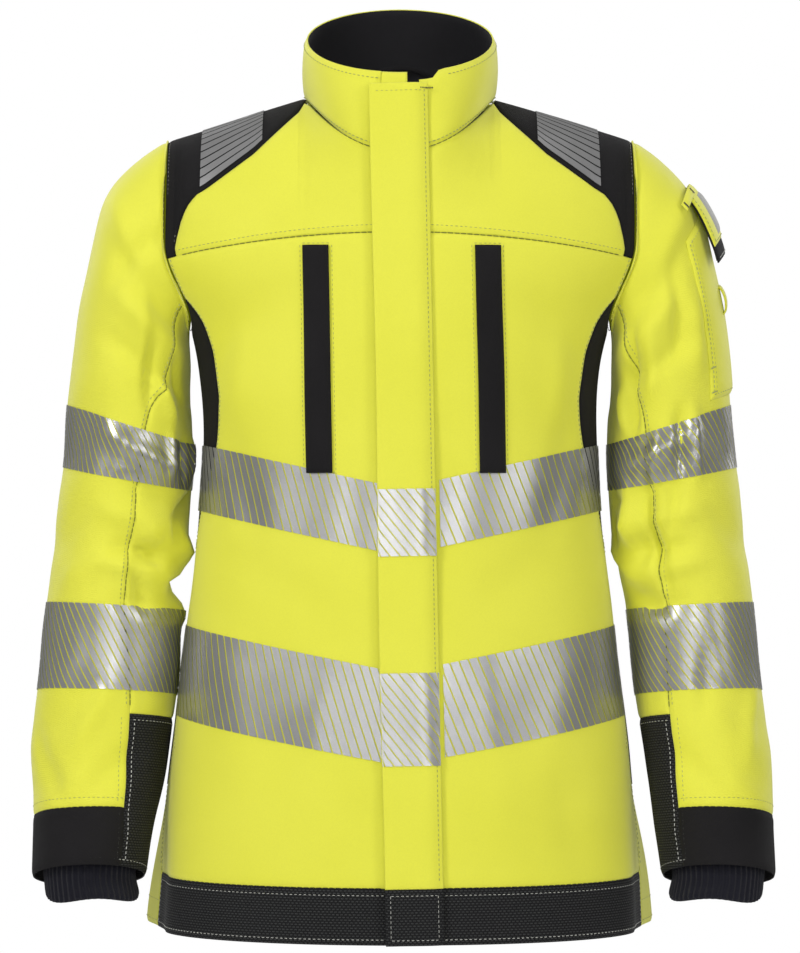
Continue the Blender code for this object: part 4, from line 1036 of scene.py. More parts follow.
def collar_pieces():
    ends = [math.degrees(math.asin((side * placket_x(NECK_FRONT_Z) + PLACKET_HALF + 0.001) / NECK_HALF))
            for side in (1, -1)]
    around = spaced_shares(0.40, 0.0045)
    up = spaced_shares(0.075, 0.0035)

    def rim(u):
        return 1.0 - 0.11 * (1 - ease((u - 19.0) / 6.0))
    panel("collar", neck, region(constant(ends[0]), constant(360 - ends[1]), constant(0.0), rim, around,
                                 up),
          YELLOW, ["collar_outer"], dip=0.0017, roll=0.0030)
    panel("chin_guard", neck, region(constant(-ends[1] - 1.0), constant(4.4), constant(0.84),
                                     constant(1.0),
                                     spaced_shares(0.02, 0.002, False),
                                     spaced_shares(0.012, 0.002, False)),
          YELLOW, [], lift=-0.0022, dips="t", dip=0.0010)
    panel("collar_inside", neck, region(constant(ends[0] + 0.6), constant(359.4 - ends[1]),
                                        constant(0.02),
                                        lambda u: rim(u) - 0.008, around, up),
          LINING, ["collar_lining"], lift=-0.0034, dips="t", dip=-0.0008,
          thickness=0.0007)


def hanging_loop():
    """Flat ribbon sewn into the collar seam behind the neck."""
    low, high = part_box("hanger_loop")
    centre_z, half = low[2], (high[0] - low[0]) / 2 - 0.0016
    angle, band = np.meshgrid(np.linspace(0, math.pi, 41), np.linspace(-0.0016, 0.0016, 5))
    y = high[1] - 0.0016 - (high[1] - low[1] - 0.0032) * (1 - np.abs(np.cos(angle)) ** 3)
    x = -(half + band) * np.cos(angle)
    z = centre_z + (high[2] - 0.0016 - centre_z + band) * np.sin(angle) ** 0.7
    points = np.stack([x, y, z], -1)
    made = lay("hanging_ribbon", points, BLACK, False, 0.0014)
    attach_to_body(made, "root")
    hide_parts("hanger_loop")
    declare(points)


# ---------------------------------------------------------------- placket
def flap_form(across, along, lift=0.0):
    """The storm flap: nearly flat, sewn down along its hinge edge, its free edge standing a little off."""
    across, along, lift = np.broadcast_arrays(*(np.asarray(v, float) for v in (across, along, lift)))
    sewn = ease((across - 0.0125) / (FLAP_RIGHT - 0.0125))
    waves = 0.0002 * np.sin(along * 31.0 + 0.6) + 0.0001 * np.sin(along * 73.0 + across * 60.0)
    out = FLAP_OUT + waves * (1 - sewn) - sewn * 0.0030 + 0.0004 * np.sin(across * 160.0)
    sway = 0.0006 * np.sin(along * 16.0 + 1.0) * ease(-across / 0.02)
    return on_placket(across + sway, out + lift, along)


def flap_pieces():
    columns = spaced_shares(FLAP_RIGHT - FLAP_LEFT, 0.004)
    panel("flap", flap_form, region(constant(FLAP_LEFT), constant(FLAP_RIGHT), constant(HEM_BAND),
                                    constant(FLAP_TOP),
                                    columns, spaced_shares(0.61, 0.005)),
          YELLOW, ["storm_flap"], body="flap", dip=0.0008)
    panel("flap_foot", flap_form, region(constant(FLAP_LEFT), constant(FLAP_RIGHT), constant(0.0),
                                         constant(HEM_BAND), columns, spaced_shares(HEM_BAND, 0.004)),
          RIPSTOP, ["flap_hem"], body="flap", dip=0.0008)

    def seam_form(across, along, lift=0.0):
        middle = FLAP_RIGHT - 0.00175
        rise = 1 - ((across - middle) / 0.0019) ** 2
        return on_placket(across, 0.0002 + 0.0005 * np.maximum(rise, 0) + lift, along)
    panel("flap_join", seam_form, region(constant(FLAP_RIGHT - 0.0035), constant(FLAP_RIGHT),
                                         constant(0.002),
                                         constant(NECK_FRONT_Z - 0.02), np.linspace(0, 1, 5),
                                         np.linspace(0, 1, 60)),
          YELLOW, ["flap_seam_strip"], dips="", thickness=0.0005)


def zip_tooth(side):
    """One moulded tooth: its head near the middle, its clasp over the tape."""
    return [(side * x, y, z) for x, y, z in (
        (-0.0002, 0.0004, -0.0008), (0.0032, 0.0004, -0.0010), (0.0032, 0.0004, 0.0010),
        (-0.0002, 0.0004, 0.0008),
        (0.0000, -0.0012, -0.0006), (0.0028, -0.0010, -0.0008), (0.0028, -0.0010, 0.0008),
        (0.0000, -0.0012, 0.0006))]


BOX_FACES = [(0, 1, 2, 3), (7, 6, 5, 4), (0, 4, 5, 1), (1, 5, 6, 2), (2, 6, 7, 3), (3, 7, 4, 0)]


def zip_pieces():
    """Woven tapes with moulded teeth, one half riding on each front."""
    for side, tag in SIDES:
        across = np.linspace(0.0006, 0.0130, 8)
        along = np.linspace(0.012, ZIP_TOP, 140)
        a, z = np.meshgrid(side * across, along)
        points = on_placket(a, -0.0009 + 0.0002 * np.sin(z * 90), z)
        tape = lay(f"zip_tape_{tag}", points, BLACK, side < 0, 0.0006)
        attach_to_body(tape, "root")
        declare(points)
        verts, faces = [], []
        count = int((ZIP_TOP - 0.016) / 0.0040)
        for k in range(count):
            z0 = 0.014 + 0.0040 * k + (0.0020 if side > 0 else 0.0)
            start = len(verts)
            verts += [tuple(on_placket(x, -y, z0 + z)) for x, y, z in zip_tooth(side)]
            faces += [tuple(start + i for i in (f if side > 0 else f[::-1])) for f in BOX_FACES]
        teeth = mesh_piece(f"zip_teeth_{tag}", verts, faces, ZIP_TEETH)
        teeth.data.polygons.foreach_set("use_smooth", [False] * len(faces))
        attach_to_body(teeth, "root")
        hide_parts(f"zip_half_{tag}")


# ---------------------------------------------------------------- pockets
def welt_form(side):
    """A welt's face, across from its centre line and up from its foot, lying on the chest."""
    def place(across, z, lift=0.0):
        reach = WELT_E + side * placket_x(z) + across
        phi = np.degrees(np.arcsin(reach / curve_through(HALF_WIDTHS, np.minimum(z, YOKE_LEVEL))))
        crown = 0.0006 * np.cos(across / WELT_WIDTH * math.pi)
        return trunk(side * phi, z, 0.0036 + crown + lift)
    return place


def chest_pieces(side, tag):
    half = WELT_WIDTH / 2
    form = welt_form(side)
    panel(f"chest_welt_{tag}_cloth", form,
          region(constant(-half), constant(half), constant(WELT_LOW), constant(WELT_HIGH),
                 spaced_shares(WELT_WIDTH, 0.0035), spaced_shares(0.174, 0.005)),
          BLACK, [f"chest_pocket_welt_{tag}"], body=f"chest_welt_{tag}", flip=side < 0,
          dip=0.0016, roll=0.0022)
    points = form(*region(constant(-0.006), constant(0.006), constant(WELT_LOW + 0.016),
                          constant(WELT_HIGH - 0.004),
                          np.linspace(0, 1, 7), np.linspace(0, 1, 40)), -0.0030)
    tape = lay(f"chest_zip_tape_{tag}", points, LINING, side < 0, 0.0004)
    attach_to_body(tape, "root")
    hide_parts(f"chest_zip_{tag}")
    declare(points)
    points = form(*region(constant(-0.0034), constant(0.0034), constant(WELT_HIGH - 0.022),
                          constant(WELT_HIGH - 0.008), np.linspace(0, 1, 7), np.linspace(0, 1, 9)),
                          -0.0020)
    slider = lay(f"chest_slider_{tag}", points, ZIP_METAL, side < 0, 0.0004)
    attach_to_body(slider, f"chest_runner_{tag}")
    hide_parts(f"chest_zip_slider_{tag}")


def facing_piece(side, tag):
    """The black mouth of a side pocket, showing where the front stands off the side seam."""
    form = signed(side, trunk)
    panel(f"side_pocket_mouth_{tag}", form,
          region(lambda v: 88.0 - 3.4 * np.sin(np.clip((v - 0.112) / 0.062, 0, 1) * math.pi),
                 constant(92.5),
                 constant(0.112), constant(0.174), spaced_shares(0.012, 0.002, False),
                 spaced_shares(0.06, 0.003, False)),
          BLACK, [f"side_pocket_bag_{tag}"], flip=side < 0, lift=0.0006, dips="",
          thickness=0.0006)


# ---------------------------------------------------------------- sleeves
def seam_angle(side):
    def at(s):
        return curve_through(FRONT_SEAM[side], s)
    return at


def sleeve_pieces(side, tag):
    form = arm(side)
    seam = seam_angle(side)
    flip = side < 0
    bend = sleeve_bend(side, tag)
    back = constant(BACK_SEAM - 360)
    long_rows = spaced_shares(0.56, 0.0048)
    outer = spaced_shares(0.23, 0.0046)
    under = spaced_shares(0.14, 0.0046)
    panel(f"sleeve_{tag}_outer_cloth", form, region(back, seam, constant(0.0), constant(CUFF_START),
                                                    outer,
                                                    long_rows),
          YELLOW, [f"sleeve_outer_{tag}"], bend=bend, flip=flip)
    panel(f"sleeve_{tag}_under_cloth", form, region(seam, constant(BACK_SEAM), constant(0.0),
                                                    constant(INSET_START), under,
                                                    spaced_shares(0.33, 0.0048)),
          YELLOW, [f"sleeve_under_{tag}"], bend=bend, flip=flip)
    body = f"sleeve_{tag}"
    panel(f"sleeve_{tag}_inset_cloth", form, region(seam, constant(BACK_SEAM), constant(INSET_START),
                                                    constant(SLEEVE_END), under,
                                                    spaced_shares(0.12, 0.0045)),
          RIPSTOP, [f"sleeve_inset_{tag}"], body=body, flip=flip)
    panel(f"sleeve_{tag}_cuff_cloth", form, region(back, seam, constant(CUFF_START), constant(SLEEVE_END),
                                                   outer, spaced_shares(0.046, 0.004)),
          BLACK, [f"cuff_band_{tag}"], body=body, flip=flip, lift=0.0004)
    knit_piece(side, tag)


def knit_piece(side, tag):
    ribs = 46
    alpha, s = np.meshgrid(np.arange(ribs * 6) * 360 / (ribs * 6), np.linspace(10.2, 11.36, 22))
    deep = 0.0088 + 0.0006 * np.cos(np.radians(alpha * ribs)) - 0.0010 * ease((s - 11.0) / 0.4) \
        + 0.0012 * ease((s - 11.28) / 0.08)
    point = sleeve_ring(alpha, s, 0.0)
    middle = sleeve_ring(alpha + 180, s, 0.0) / 2 + point / 2
    away = point - middle
    size = np.linalg.norm(away, axis=-1, keepdims=True)
    point = middle + away * (size - deep[..., None]) / size
    level = point[..., 2].mean(axis=1, keepdims=True)
    point[..., 2] = level + (point[..., 2] - level) * (1 - 1.1 * ease((s - 10.5) / 0.6))
    point[..., 2] += 0.0022 * np.sin(np.radians(alpha * 3 + 150)) * ease((s - 11.0) / 0.3)
    point[..., 0] -= (0.0062 if side < 0 else 0.0) + 0.0040 * ease((s - 10.9) / 0.5)
    point[..., 0] *= side
    made = lay(f"knit_{tag}", point - HANG, KNIT, side < 0, 0.0014, around=True)
    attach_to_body(made, f"sleeve_{tag}")
    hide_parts(f"knit_cuff_{tag}")
    declare(point)


def sleeve_pocket_pieces():
    form = arm(1)
    bend = sleeve_bend(1, "l")
    panel("sleeve_pocket_cloth", form, region(constant(-42.0), constant(52.0), constant(2.06),
                                              constant(4.38),
                                              spaced_shares(0.092, 0.0042), spaced_shares(0.115, 0.0045)),
          YELLOW, ["sleeve_pocket"], bend=bend, lift=0.0030, dip=0.0024, roll=0.0026)

    def standing(alpha, s, lift=0.0):
        """The pocket's flap: sewn down at its top and standing further off towards its lower end."""
        return form(alpha, s, 0.0036 + 0.0105 * ease((s - 1.40) / 1.3) + lift)
    panel("flap_top_cloth", standing, region(constant(-22.0), constant(34.0), constant(1.50),
                                             constant(2.42),
                                             spaced_shares(0.06, 0.003), spaced_shares(0.05, 0.003)),
          YELLOW, ["sleeve_strap"], body="pocket_flap", lift=0.0013)
    panel("flap_under_cloth", standing, region(constant(-23.0), constant(35.0), constant(1.54),
                                               constant(2.62),
                                               spaced_shares(0.06, 0.003), spaced_shares(0.06, 0.003)),
          BLACK, [], body="pocket_flap", dip=0.0006)
    panel("flap_badge", standing, region(constant(-16.0), constant(22.0), constant(1.70), constant(2.34),
                                         spaced_shares(0.04, 0.003), spaced_shares(0.03, 0.003)),
          BADGE, [], body="pocket_flap", lift=0.0024, thickness=0.0010)
    panel("flap_tab", standing, region(constant(24.0), constant(46.0), constant(1.46), constant(1.64),
                                       spaced_shares(0.022, 0.002), spaced_shares(0.012, 0.002)),
          YELLOW, [], body="pocket_flap", lift=0.0024)
    for alpha in (26.0, 44.0):
        bartack("pocket_flap", "dark", standing_at(standing, 0.0026), alpha, 1.55, 90.0, 0.005)
    for alpha in (-20.0, 31.5):
        s = np.linspace(1.60, 2.38, 40)
        sew("pocket_flap", "yellow", standing_at(standing, 0.0013), alpha + 0 * s, s)
    alpha = np.linspace(-20.0, 31.5, 30)
    sew("pocket_flap", "yellow", standing_at(standing, 0.0013), alpha, 2.38 + 0 * alpha)
    sew("pocket_flap", "light", standing_at(standing, 0.0001), alpha, 2.58 + 0 * alpha)

    def loop(alpha, s, lift=0.0):
        return form(alpha, s, 0.0034 + 0.0036 * np.sin(np.clip((s - 2.98) / 0.36, 0,
                                                               1) * math.pi) ** 0.6 + lift)
    panel("pen_band", loop, region(constant(6.0), constant(19.0), constant(2.98), constant(3.34),
                                   np.linspace(0, 1, 7), np.linspace(0, 1, 15)),
          YELLOW, ["pen_loop"], body="sleeve_l", dips="", thickness=0.0012)


def standing_at(form, height):
    """The same form with its face this much further out."""
    def at(u, v, lift=0.0):
        return form(u, v, height + lift)
    return at


# ---------------------------------------------------------------- reflective film
def film(name, form, place, slant, nodes, body="root", bend=None, lift=0.0007, across=10,
         pitch=SEGMENT_PITCH):
    """Slanted segments of film along a strip; place(t, q) gives the strip's own places, t along it and q
    across. A positive slant leans the segments forwards as q grows, by this share of the strip's width."""
    t = np.linspace(0, 1, 500)
    run = run_lengths(form(*place(t, 0.5 + 0 * t), 0.0)[None], 1)[0]
    ends = form(*place(np.array([0.5, 0.5]), np.array([0.0, 1.0])), 0.0)
    width = float(np.linalg.norm(ends[1] - ends[0]))
    reach = abs(slant) * width
    starts = np.arange(-reach, run[-1] + reach, pitch)
    q = np.linspace(0, 1, across + 1)
    step = np.linspace(0, pitch - SEGMENT_GAP, 3)
    a = starts[:, None, None] + slant * width * (q[None, :, None] - 0.5) + step[None, None, :]
    a = np.clip(a, 0, run[-1])
    share = np.interp(a, run, t)
    points = form(*place(share, np.broadcast_to(q[None, :, None], share.shape)), lift)
    local = grid_faces(across + 1, 3)
    faces = (np.arange(len(starts))[:, None, None] * points[0, ..., 0].size + local[None]).reshape(-1, 4)
    flat = points.reshape(-1, 3)
    area = np.linalg.norm(np.cross(flat[faces[:, 2]] - flat[faces[:, 0]],
                                   flat[faces[:, 3]] - flat[faces[:, 1]]),
                          axis=-1)
    faces = faces[area > 4e-8]
    used, faces = np.unique(faces, return_inverse=True)
    faces = faces.reshape(-1, 4)
    spots = np.broadcast_to(q[None, :, None] * width, a.shape)
    made = mesh_piece(name, flat[used], faces, FILM, np.stack([a, spots], -1).reshape(-1, 2)[used])
    outer = form(*place(share, np.broadcast_to(q[None, :, None], share.shape)), lift + 0.001).reshape(-1,
                                                                                                      3)[used]
    out = (outer - flat[used])[faces[0]].mean(0)
    corners = flat[used][faces[0]]
    if np.cross(corners[2] - corners[0], corners[3] - corners[1]) @ out < 0:
        made.data.flip_normals()
    attach(made, body, bend)
    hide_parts(*nodes)
    return made


def trunk_tapes():
    lean = -1 / math.tan(math.radians(70))
    for name, (middle, rise, width) in (("chest_tape", CHEST_TAPE), ("waist_tape", WAIST_TAPE)):
        def centre(phi, middle=middle, rise=rise):
            return middle + rise * np.minimum(cross_section(np.minimum(np.abs(phi), 90))[0] / 0.98, 1)

        def strip(start, end, centre=centre, width=width):
            def place(t, q):
                u = start + (end - start) * t
                turned = (u + 180) % 360 - 180
                return u, centre(turned) + (q - 0.5) * width
            return place
        for side, tag in SIDES:
            reach = PLACKET_HALF if side < 0 else FLAP_RIGHT + 0.003
            inner = float(placket_phi(side, reach)(middle))
            span = (-89.7, -inner) if side < 0 else (inner, 89.7)
            film(f"{name}_film_{tag}", trunk, strip(*span), lean, [f"{name}_front_{tag}"])
        film(f"{name}_film_back", trunk, strip(90.3, 269.7), lean, [f"{name}_back"])

    for name, (middle, _, width) in (("flap_chest_tape", CHEST_TAPE), ("flap_waist_tape", WAIST_TAPE)):
        def place(t, q, middle=middle, width=width):
            return FLAP_LEFT + 0.0004 + (FLAP_RIGHT - FLAP_LEFT - 0.0006) * t, middle + (q - 0.5) * width
        film(f"{name}_film", flap_form, place, -1 / math.tan(math.radians(52)), [name], body="flap")

    for side, tag in SIDES:
        def place(t, q):
            u = 31.0 + 17.5 * q
            low, high = patch_level(u) + 0.004, patch_level_back(u) - 0.004
            return u, low + (high - low) * t
        film(f"shoulder_film_{tag}", signed(side, trunk), place, 0.0, [f"shoulder_tape_{tag}"],
             lift=0.0013)


def sleeve_tapes(side, tag):
    lean = side / math.tan(math.radians(61))
    for name, (start, end) in (("upper", UPPER_TAPE), ("lower", LOWER_TAPE)):
        def place(t, q, start=start, end=end):
            return 182.0 + 356.0 * t, end + (start - end) * q
        film(f"sleeve_{tag}_film_{name}", arm(side), place, lean, [f"sleeve_tape_{name}_{tag}"],
             bend=sleeve_bend(side, tag), pitch=SLEEVE_PITCH)


# ---------------------------------------------------------------- stitching
STITCH_PITCH = 0.0037
STITCH_LENGTH = 0.0027
STITCH_WIDTH = 0.00036
SEWN = {}


def sew(place, thread, form, u, v, pitch=STITCH_PITCH, length=STITCH_LENGTH, width=STITCH_WIDTH,
        sunk=0.00022):
    """A row of stitches along a line on a form; place is the body, or the bend, that the row goes with."""
    u, v = np.broadcast_arrays(np.asarray(u, float), np.asarray(v, float))
    if len(u) < 60:
        fine = np.linspace(0, len(u) - 1, 240)
        u, v = np.interp(fine, np.arange(len(u)), u), np.interp(fine, np.arange(len(v)), v)
    line = form(u, v, 0.0)
    above = form(u, v, 0.001)
    run = run_lengths(line[None], 1)[0]
    count = int((run[-1] - length) / pitch) + 1
    if count < 1:
        return
    slack = (run[-1] - length - (count - 1) * pitch) / 2
    starts = slack + np.arange(count) * pitch
    marks = starts[:, None] + length * np.array([0.0, 0.22, 0.78, 1.0])
    spot = np.stack([np.interp(marks, run, line[:, k]) for k in range(3)], -1)
    up = np.stack([np.interp(marks, run, (above - line)[:, k]) for k in range(3)], -1)
    up = up / np.linalg.norm(up, axis=-1, keepdims=True)
    ahead = spot[:, -1:] - spot[:, :1]
    ahead = ahead / np.maximum(np.linalg.norm(ahead, axis=-1, keepdims=True), 1e-9)
    aside = np.cross(up, np.broadcast_to(ahead, up.shape))
    ends = spot[:, [0, 3]] - up[:, [0, 3]] * sunk * 2
    mid, mid_up, mid_side = spot[:, 1:3], up[:, 1:3], aside[:, 1:3]
    left = mid + mid_side * width - mid_up * sunk
    right = mid - mid_side * width - mid_up * sunk
    crest = mid + mid_up * width * 0.9
    points = np.concatenate([ends, left, right, crest], 1)
    SEWN.setdefault((place, thread), []).append(points)


STITCH_FACES = [(0, 4, 6), (0, 6, 2), (2, 6, 7, 3), (6, 4, 5, 7), (1, 3, 7), (1, 7, 5)]


def bartack(place, thread, form, u, v, tilt=0.0, length=0.007):
    """A short bar of close stitches across a stress point."""
    centre = form(np.array([u]), np.array([v]), 0.0)[0]
    across = form(np.array([u + 0.2]), np.array([v]), 0.0)[0] - centre
    along = form(np.array([u]), np.array([v + 0.002]), 0.0)[0] - centre
    a = 0.2 / np.linalg.norm(across)
    b = 0.002 / np.linalg.norm(along)
    turn = math.radians(tilt)
    steps = np.linspace(-0.5, 0.5, 9) * length
    for step in steps:
        du, dv = a * (step * math.cos(turn)), b * (step * math.sin(turn))
        half_u, half_v = a * 0.0009 * -math.sin(turn), b * 0.0009 * math.cos(turn)
        sew(place, thread, form, [u + du - half_u, u + du + half_u], [v + dv - half_v, v + dv + half_v],
            pitch=0.002, length=0.0015, width=0.0004)


def ditch(place, form, u, v, kind="ditch", lift=-0.0007, width=0.00042):
    """Painted shade down in a seam, where one piece is joined to the next: a dark strip laid in the groove to
    stand in for its shadow.
    """
    def low(a, b, raised=0.0):
        return form(a, b, lift + raised)
    sew(place, kind, low, u, v, pitch=0.0050, length=0.0052, width=width, sunk=0.0001)


def finish_sewing():
    # The last two looks are painted seam shade, not thread.
    looks = {"yellow": YELLOW_THREAD, "light": LIGHT_THREAD, "dark": DARK_THREAD,
             "ditch": YELLOW_PAINTED_SEAM_SHADE, "black_ditch": BLACK_PAINTED_SEAM_SHADE}
    names = {}
    for (place, thread), rows in SEWN.items():
        points = np.concatenate(rows)
        faces = []
        base = np.arange(len(points)) * 8
        quads = np.array([f for f in STITCH_FACES if len(f) == 4])
        tris = np.array([f for f in STITCH_FACES if len(f) == 3])
        faces = (base[:, None, None] + quads).reshape(-1, 4).tolist() + (base[:, None,
                                                                              None] + tris).reshape(-1,
                                                                                                    3).tolist()
        body = place if isinstance(place, str) else place[1]
        label = f"stitches_{body}_{thread}" + ("" if isinstance(place, str) else "_bent")
        mesh = bpy.data.meshes.new(label)
        mesh.from_pydata(points.reshape(-1, 3).tolist(), [], faces)
        mesh.materials.append(looks[thread])
        made = bpy.data.objects.new(label, mesh)
        scene.collection.objects.link(made)
        attach(made, *((place,) if isinstance(place, str) else (None, place)))
        names[label] = len(points)
    return names


def sew_trunk(side):
    form = signed(side, trunk)
    inner = placket_phi(side, PLACKET_HALF)
    reach = 0.0042
    inside = float(inner(YOKE_SEAM_Z))
    phi = np.linspace(inside, angle_at(YOKE_EDGE - 0.004), 80)
    sew("root", "yellow", form, phi, front_seam_level(phi) + reach)
    ditch("root", form, phi, front_seam_level(phi))
    level = np.linspace(0.292, SIDE_TOP, 60)
    ditch("root", form, straight_through(SIDE_EDGE, level), level, "black_ditch")
    level = np.linspace(HEM_BAND, 0.292, 60)
    ditch("root", form, 90 + 0 * level, level)
    span = np.linspace(inside, 89.9, 120)
    ditch("root", form, span, HEM_BAND + 0 * span, "black_ditch")
    spin = np.linspace(-178, 178, 200)

    def rim(alpha, s, lift=0.0):
        point = armhole_form(alpha) + np.array([0.0008 + lift, 0, 0])
        point[..., 0] *= side
        return point - HANG
    ditch("root", rim, spin, 0 * spin, "black_ditch", 0.0)
    z = np.linspace(HEM_BAND, 0.29, 90)
    level = np.linspace(0.292, SIDE_TOP, 60)
    edge = straight_through(SIDE_EDGE, level) - degrees_for(reach, level)
    sew("root", "yellow", form, edge, level)
    up = np.linspace(SIDE_TOP, float(front_seam_level(armhole_phi(0.52))), 12)
    sew("root", "yellow", form, armhole_phi(up) - degrees_for(reach, up), up)
    span = np.linspace(inside, 89.6, 120)
    sew("root", "light", form, span, HEM_BAND - 0.0052 + 0 * span)
    sew("root", "light", form, span, 0.0042 + 0 * span)
    low = np.linspace(0.003, HEM_BAND - 0.004, 12)
    sew("root", "light", form, 89.7 - degrees_for(reach, low), low)
    x = np.linspace(PATCH_EDGE[0][0] + 0.003, YOKE_EDGE - 0.001, 80)
    phi = np.degrees(np.arcsin(x / YOKE_HALF))
    sew("root", "light", form, phi, patch_level(phi) + reach * 1.25)
    sew("root", "light", form, phi, patch_level_back(phi) - reach * 1.25)
    g = np.linspace(float(patch_level(48.0)), float(patch_level_back(48.0)), 140)
    for gap in (0.0035, 0.0062):
        sew("root", "light", form, armhole_phi(trunk_level(g)) - np.degrees(gap / 0.19), g)
    g = np.linspace(float(patch_level(22.6)) + 0.006, float(patch_level_back(22.6)) - 0.006, 60)
    sew("root", "light", form, angle_at(PATCH_EDGE[0][0]) + np.degrees(reach / 0.19) + 0 * g, g)
    for way in (-1, 1):
        z = np.linspace(WELT_LOW - 0.0030, WELT_HIGH + 0.0015, 120)
        phi = np.degrees(np.arcsin((WELT_E + side * placket_x(z) + way * (WELT_WIDTH / 2 + 0.0022))
                                   / curve_through(HALF_WIDTHS, z)))
        sew("root", "yellow", form, phi, z)
    across = np.linspace(-0.0122, 0.0122, 20)
    for z in (WELT_LOW - 0.0030, WELT_HIGH + 0.0015):
        phi = np.degrees(np.arcsin((WELT_E + side * placket_x(z) + across) / curve_through(HALF_WIDTHS,
                                                                                           z)))
        sew("root", "yellow", form, phi, z + 0 * across)
    phi = np.degrees(math.asin((WELT_E + side * placket_x(WELT_LOW)) / float(curve_through(HALF_WIDTHS,
                                                                                           WELT_LOW))))
    for way in (-4.2, 4.2):
        bartack("root", "yellow", form, phi + way, WELT_LOW - 0.0016, 90.0, 0.005)
    line = np.linspace(0.112, 0.174, 30)
    sew("root", "yellow", form, 85.6 - 2.2 * np.sin((line - 0.112) / 0.062 * math.pi), line)
    sew("root", "yellow", form, np.linspace(87.5, 79.0, 20), np.linspace(0.176, 0.140, 20))
    bartack("root", "yellow", form, 86.5, 0.178, 0.0, 0.006)
    bartack("root", "yellow", form, 86.5, 0.108, 0.0, 0.006)
    bartack("root", "yellow", form, 84.0, 0.300, 45.0, 0.006)
    bartack("root", "yellow", form, 84.0, 0.300, -45.0, 0.006)
    z = np.linspace(0.048, 0.287, 90)
    sew("root", "yellow", form, 90 + degrees_for(0.0035, z), z)


def sew_back():
    span = np.linspace(90.5, 269.5, 260)
    for z in (0.0040, 0.0200):
        sew("root", "yellow", trunk, span, z + 0 * span)
    edge = angle_at(0.166)
    span = np.linspace(-edge, edge, 200)
    sew("root", "yellow", trunk, span, 2 * RIDGE - BACK_SEAM_Z - 0.0045 + 0 * span)
    for side in (-1, 1):
        form = signed(side, trunk)
        level = np.linspace(0.292, SIDE_TOP, 60)
        sew("root", "yellow", form, 180 - straight_through(SIDE_EDGE, level) + degrees_for(0.0042, level),
            level)


def sew_collar():
    start, end = 12.5, 347.5
    u = np.linspace(start, end, 300)
    ditch("root", neck, u, 0.004 + 0 * u, lift=0.0004)
    sew("root", "yellow", neck, u[15:], 0.905 + 0 * u[15:])
    sew("root", "yellow", neck, u, 0.060 + 0 * u)

    def inner_face(u, t, lift=0.0):
        return neck(u, t, -0.0036 - lift)
    u = np.linspace(27.0, end, 280)
    sew("root", "light", inner_face, u, 0.93 + 0 * u)


def sew_flap():
    z = np.linspace(HEM_BAND + 0.004, FLAP_TOP - 0.003, 400)
    sew("flap", "yellow", flap_form, FLAP_RIGHT - 0.0030 + 0 * z, z)
    sew("flap", "yellow", flap_form, [FLAP_LEFT + 0.004, FLAP_RIGHT - 0.004],
        [FLAP_TOP - 0.006, FLAP_TOP - 0.006])
    low = np.linspace(0.004, HEM_BAND - 0.003, 20)
    for across in (FLAP_LEFT + 0.004, FLAP_RIGHT - 0.004):
        sew("flap", "light", flap_form, across + 0 * low, low)
    for z in (HEM_BAND - 0.0050, 0.0042):
        sew("flap", "light", flap_form, [FLAP_LEFT + 0.004, FLAP_RIGHT - 0.004], [z, z])
    bartack("flap", "dark", flap_form, FLAP_RIGHT - 0.001, FLAP_TOP - 0.004, 0.0, 0.009)


def sew_sleeve(side, tag):
    form = arm(side)
    seam = seam_angle(side)
    bend = sleeve_bend(side, tag)
    body = f"sleeve_{tag}"
    s = np.linspace(0.3, 8.3, 300)
    sew(bend, "yellow", form, seam(s) - 3.6, s)
    ditch(bend, form, seam(s), s)
    ditch(bend, form, BACK_SEAM - 360 + 0 * s, s)
    s = np.linspace(8.45, CUFF_START - 0.1, 60)
    sew(body, "yellow", form, seam(s) - 7.5, s)
    sew(body, "yellow", form, BACK_SEAM - 360 + 4.5 + 0 * s, s)
    s = np.linspace(0.3, 8.3, 300)
    sew(bend, "yellow", form, BACK_SEAM - 360 + 3.0 + 0 * s, s)
    spin = np.linspace(BACK_SEAM - 360, float(seam(CUFF_START)), 160)
    ditch(body, form, spin, CUFF_START + 0 * spin, "black_ditch")
    alpha = np.linspace(BACK_SEAM - 360 + 2, float(seam(9.8)) - 2, 160)
    sew(body, "yellow", form, alpha, CUFF_START - 0.165 + 0 * alpha)
    sew(body, "light", form, alpha, SLEEVE_END - 0.12 + 0 * alpha)
    s = np.linspace(CUFF_START + 0.08, SLEEVE_END - 0.1, 30)
    sew(body, "light", form, seam(s) - 5.5, s)
    s = np.linspace(INSET_START + 0.1, SLEEVE_END - 0.1, 60)
    sew(body, "light", form, seam(s) + 4.5, s)
    alpha = np.linspace(float(seam(8.4)) + 2, BACK_SEAM - 2, 60)
    sew(body, "light", form, alpha, INSET_START + 0.09 + 0 * alpha)
    sew(body, "light", form, alpha, SLEEVE_END - 0.12 + 0 * alpha)


def sew_sleeve_pocket():
    bend = sleeve_bend(1, "l")
    bed = arm(1)

    def form(alpha, s, lift=0.0):
        return bed(alpha, s, 0.0028 + lift)
    s = np.linspace(2.12, 4.30, 80)
    for alpha in (-40.0, 49.6, 46.6):
        sew(bend, "yellow", form, alpha + 0 * s, s)
    alpha = np.linspace(-40, 49.6, 50)
    sew(bend, "yellow", form, alpha, 4.30 + 0 * alpha)
    sew(bend, "yellow", form, alpha, 2.16 + 0 * alpha)
    bartack(bend, "yellow", form, 49.0, 3.90, 0.0, 0.006)
    bartack(bend, "yellow", form, 49.0, 4.26, 0.0, 0.006)


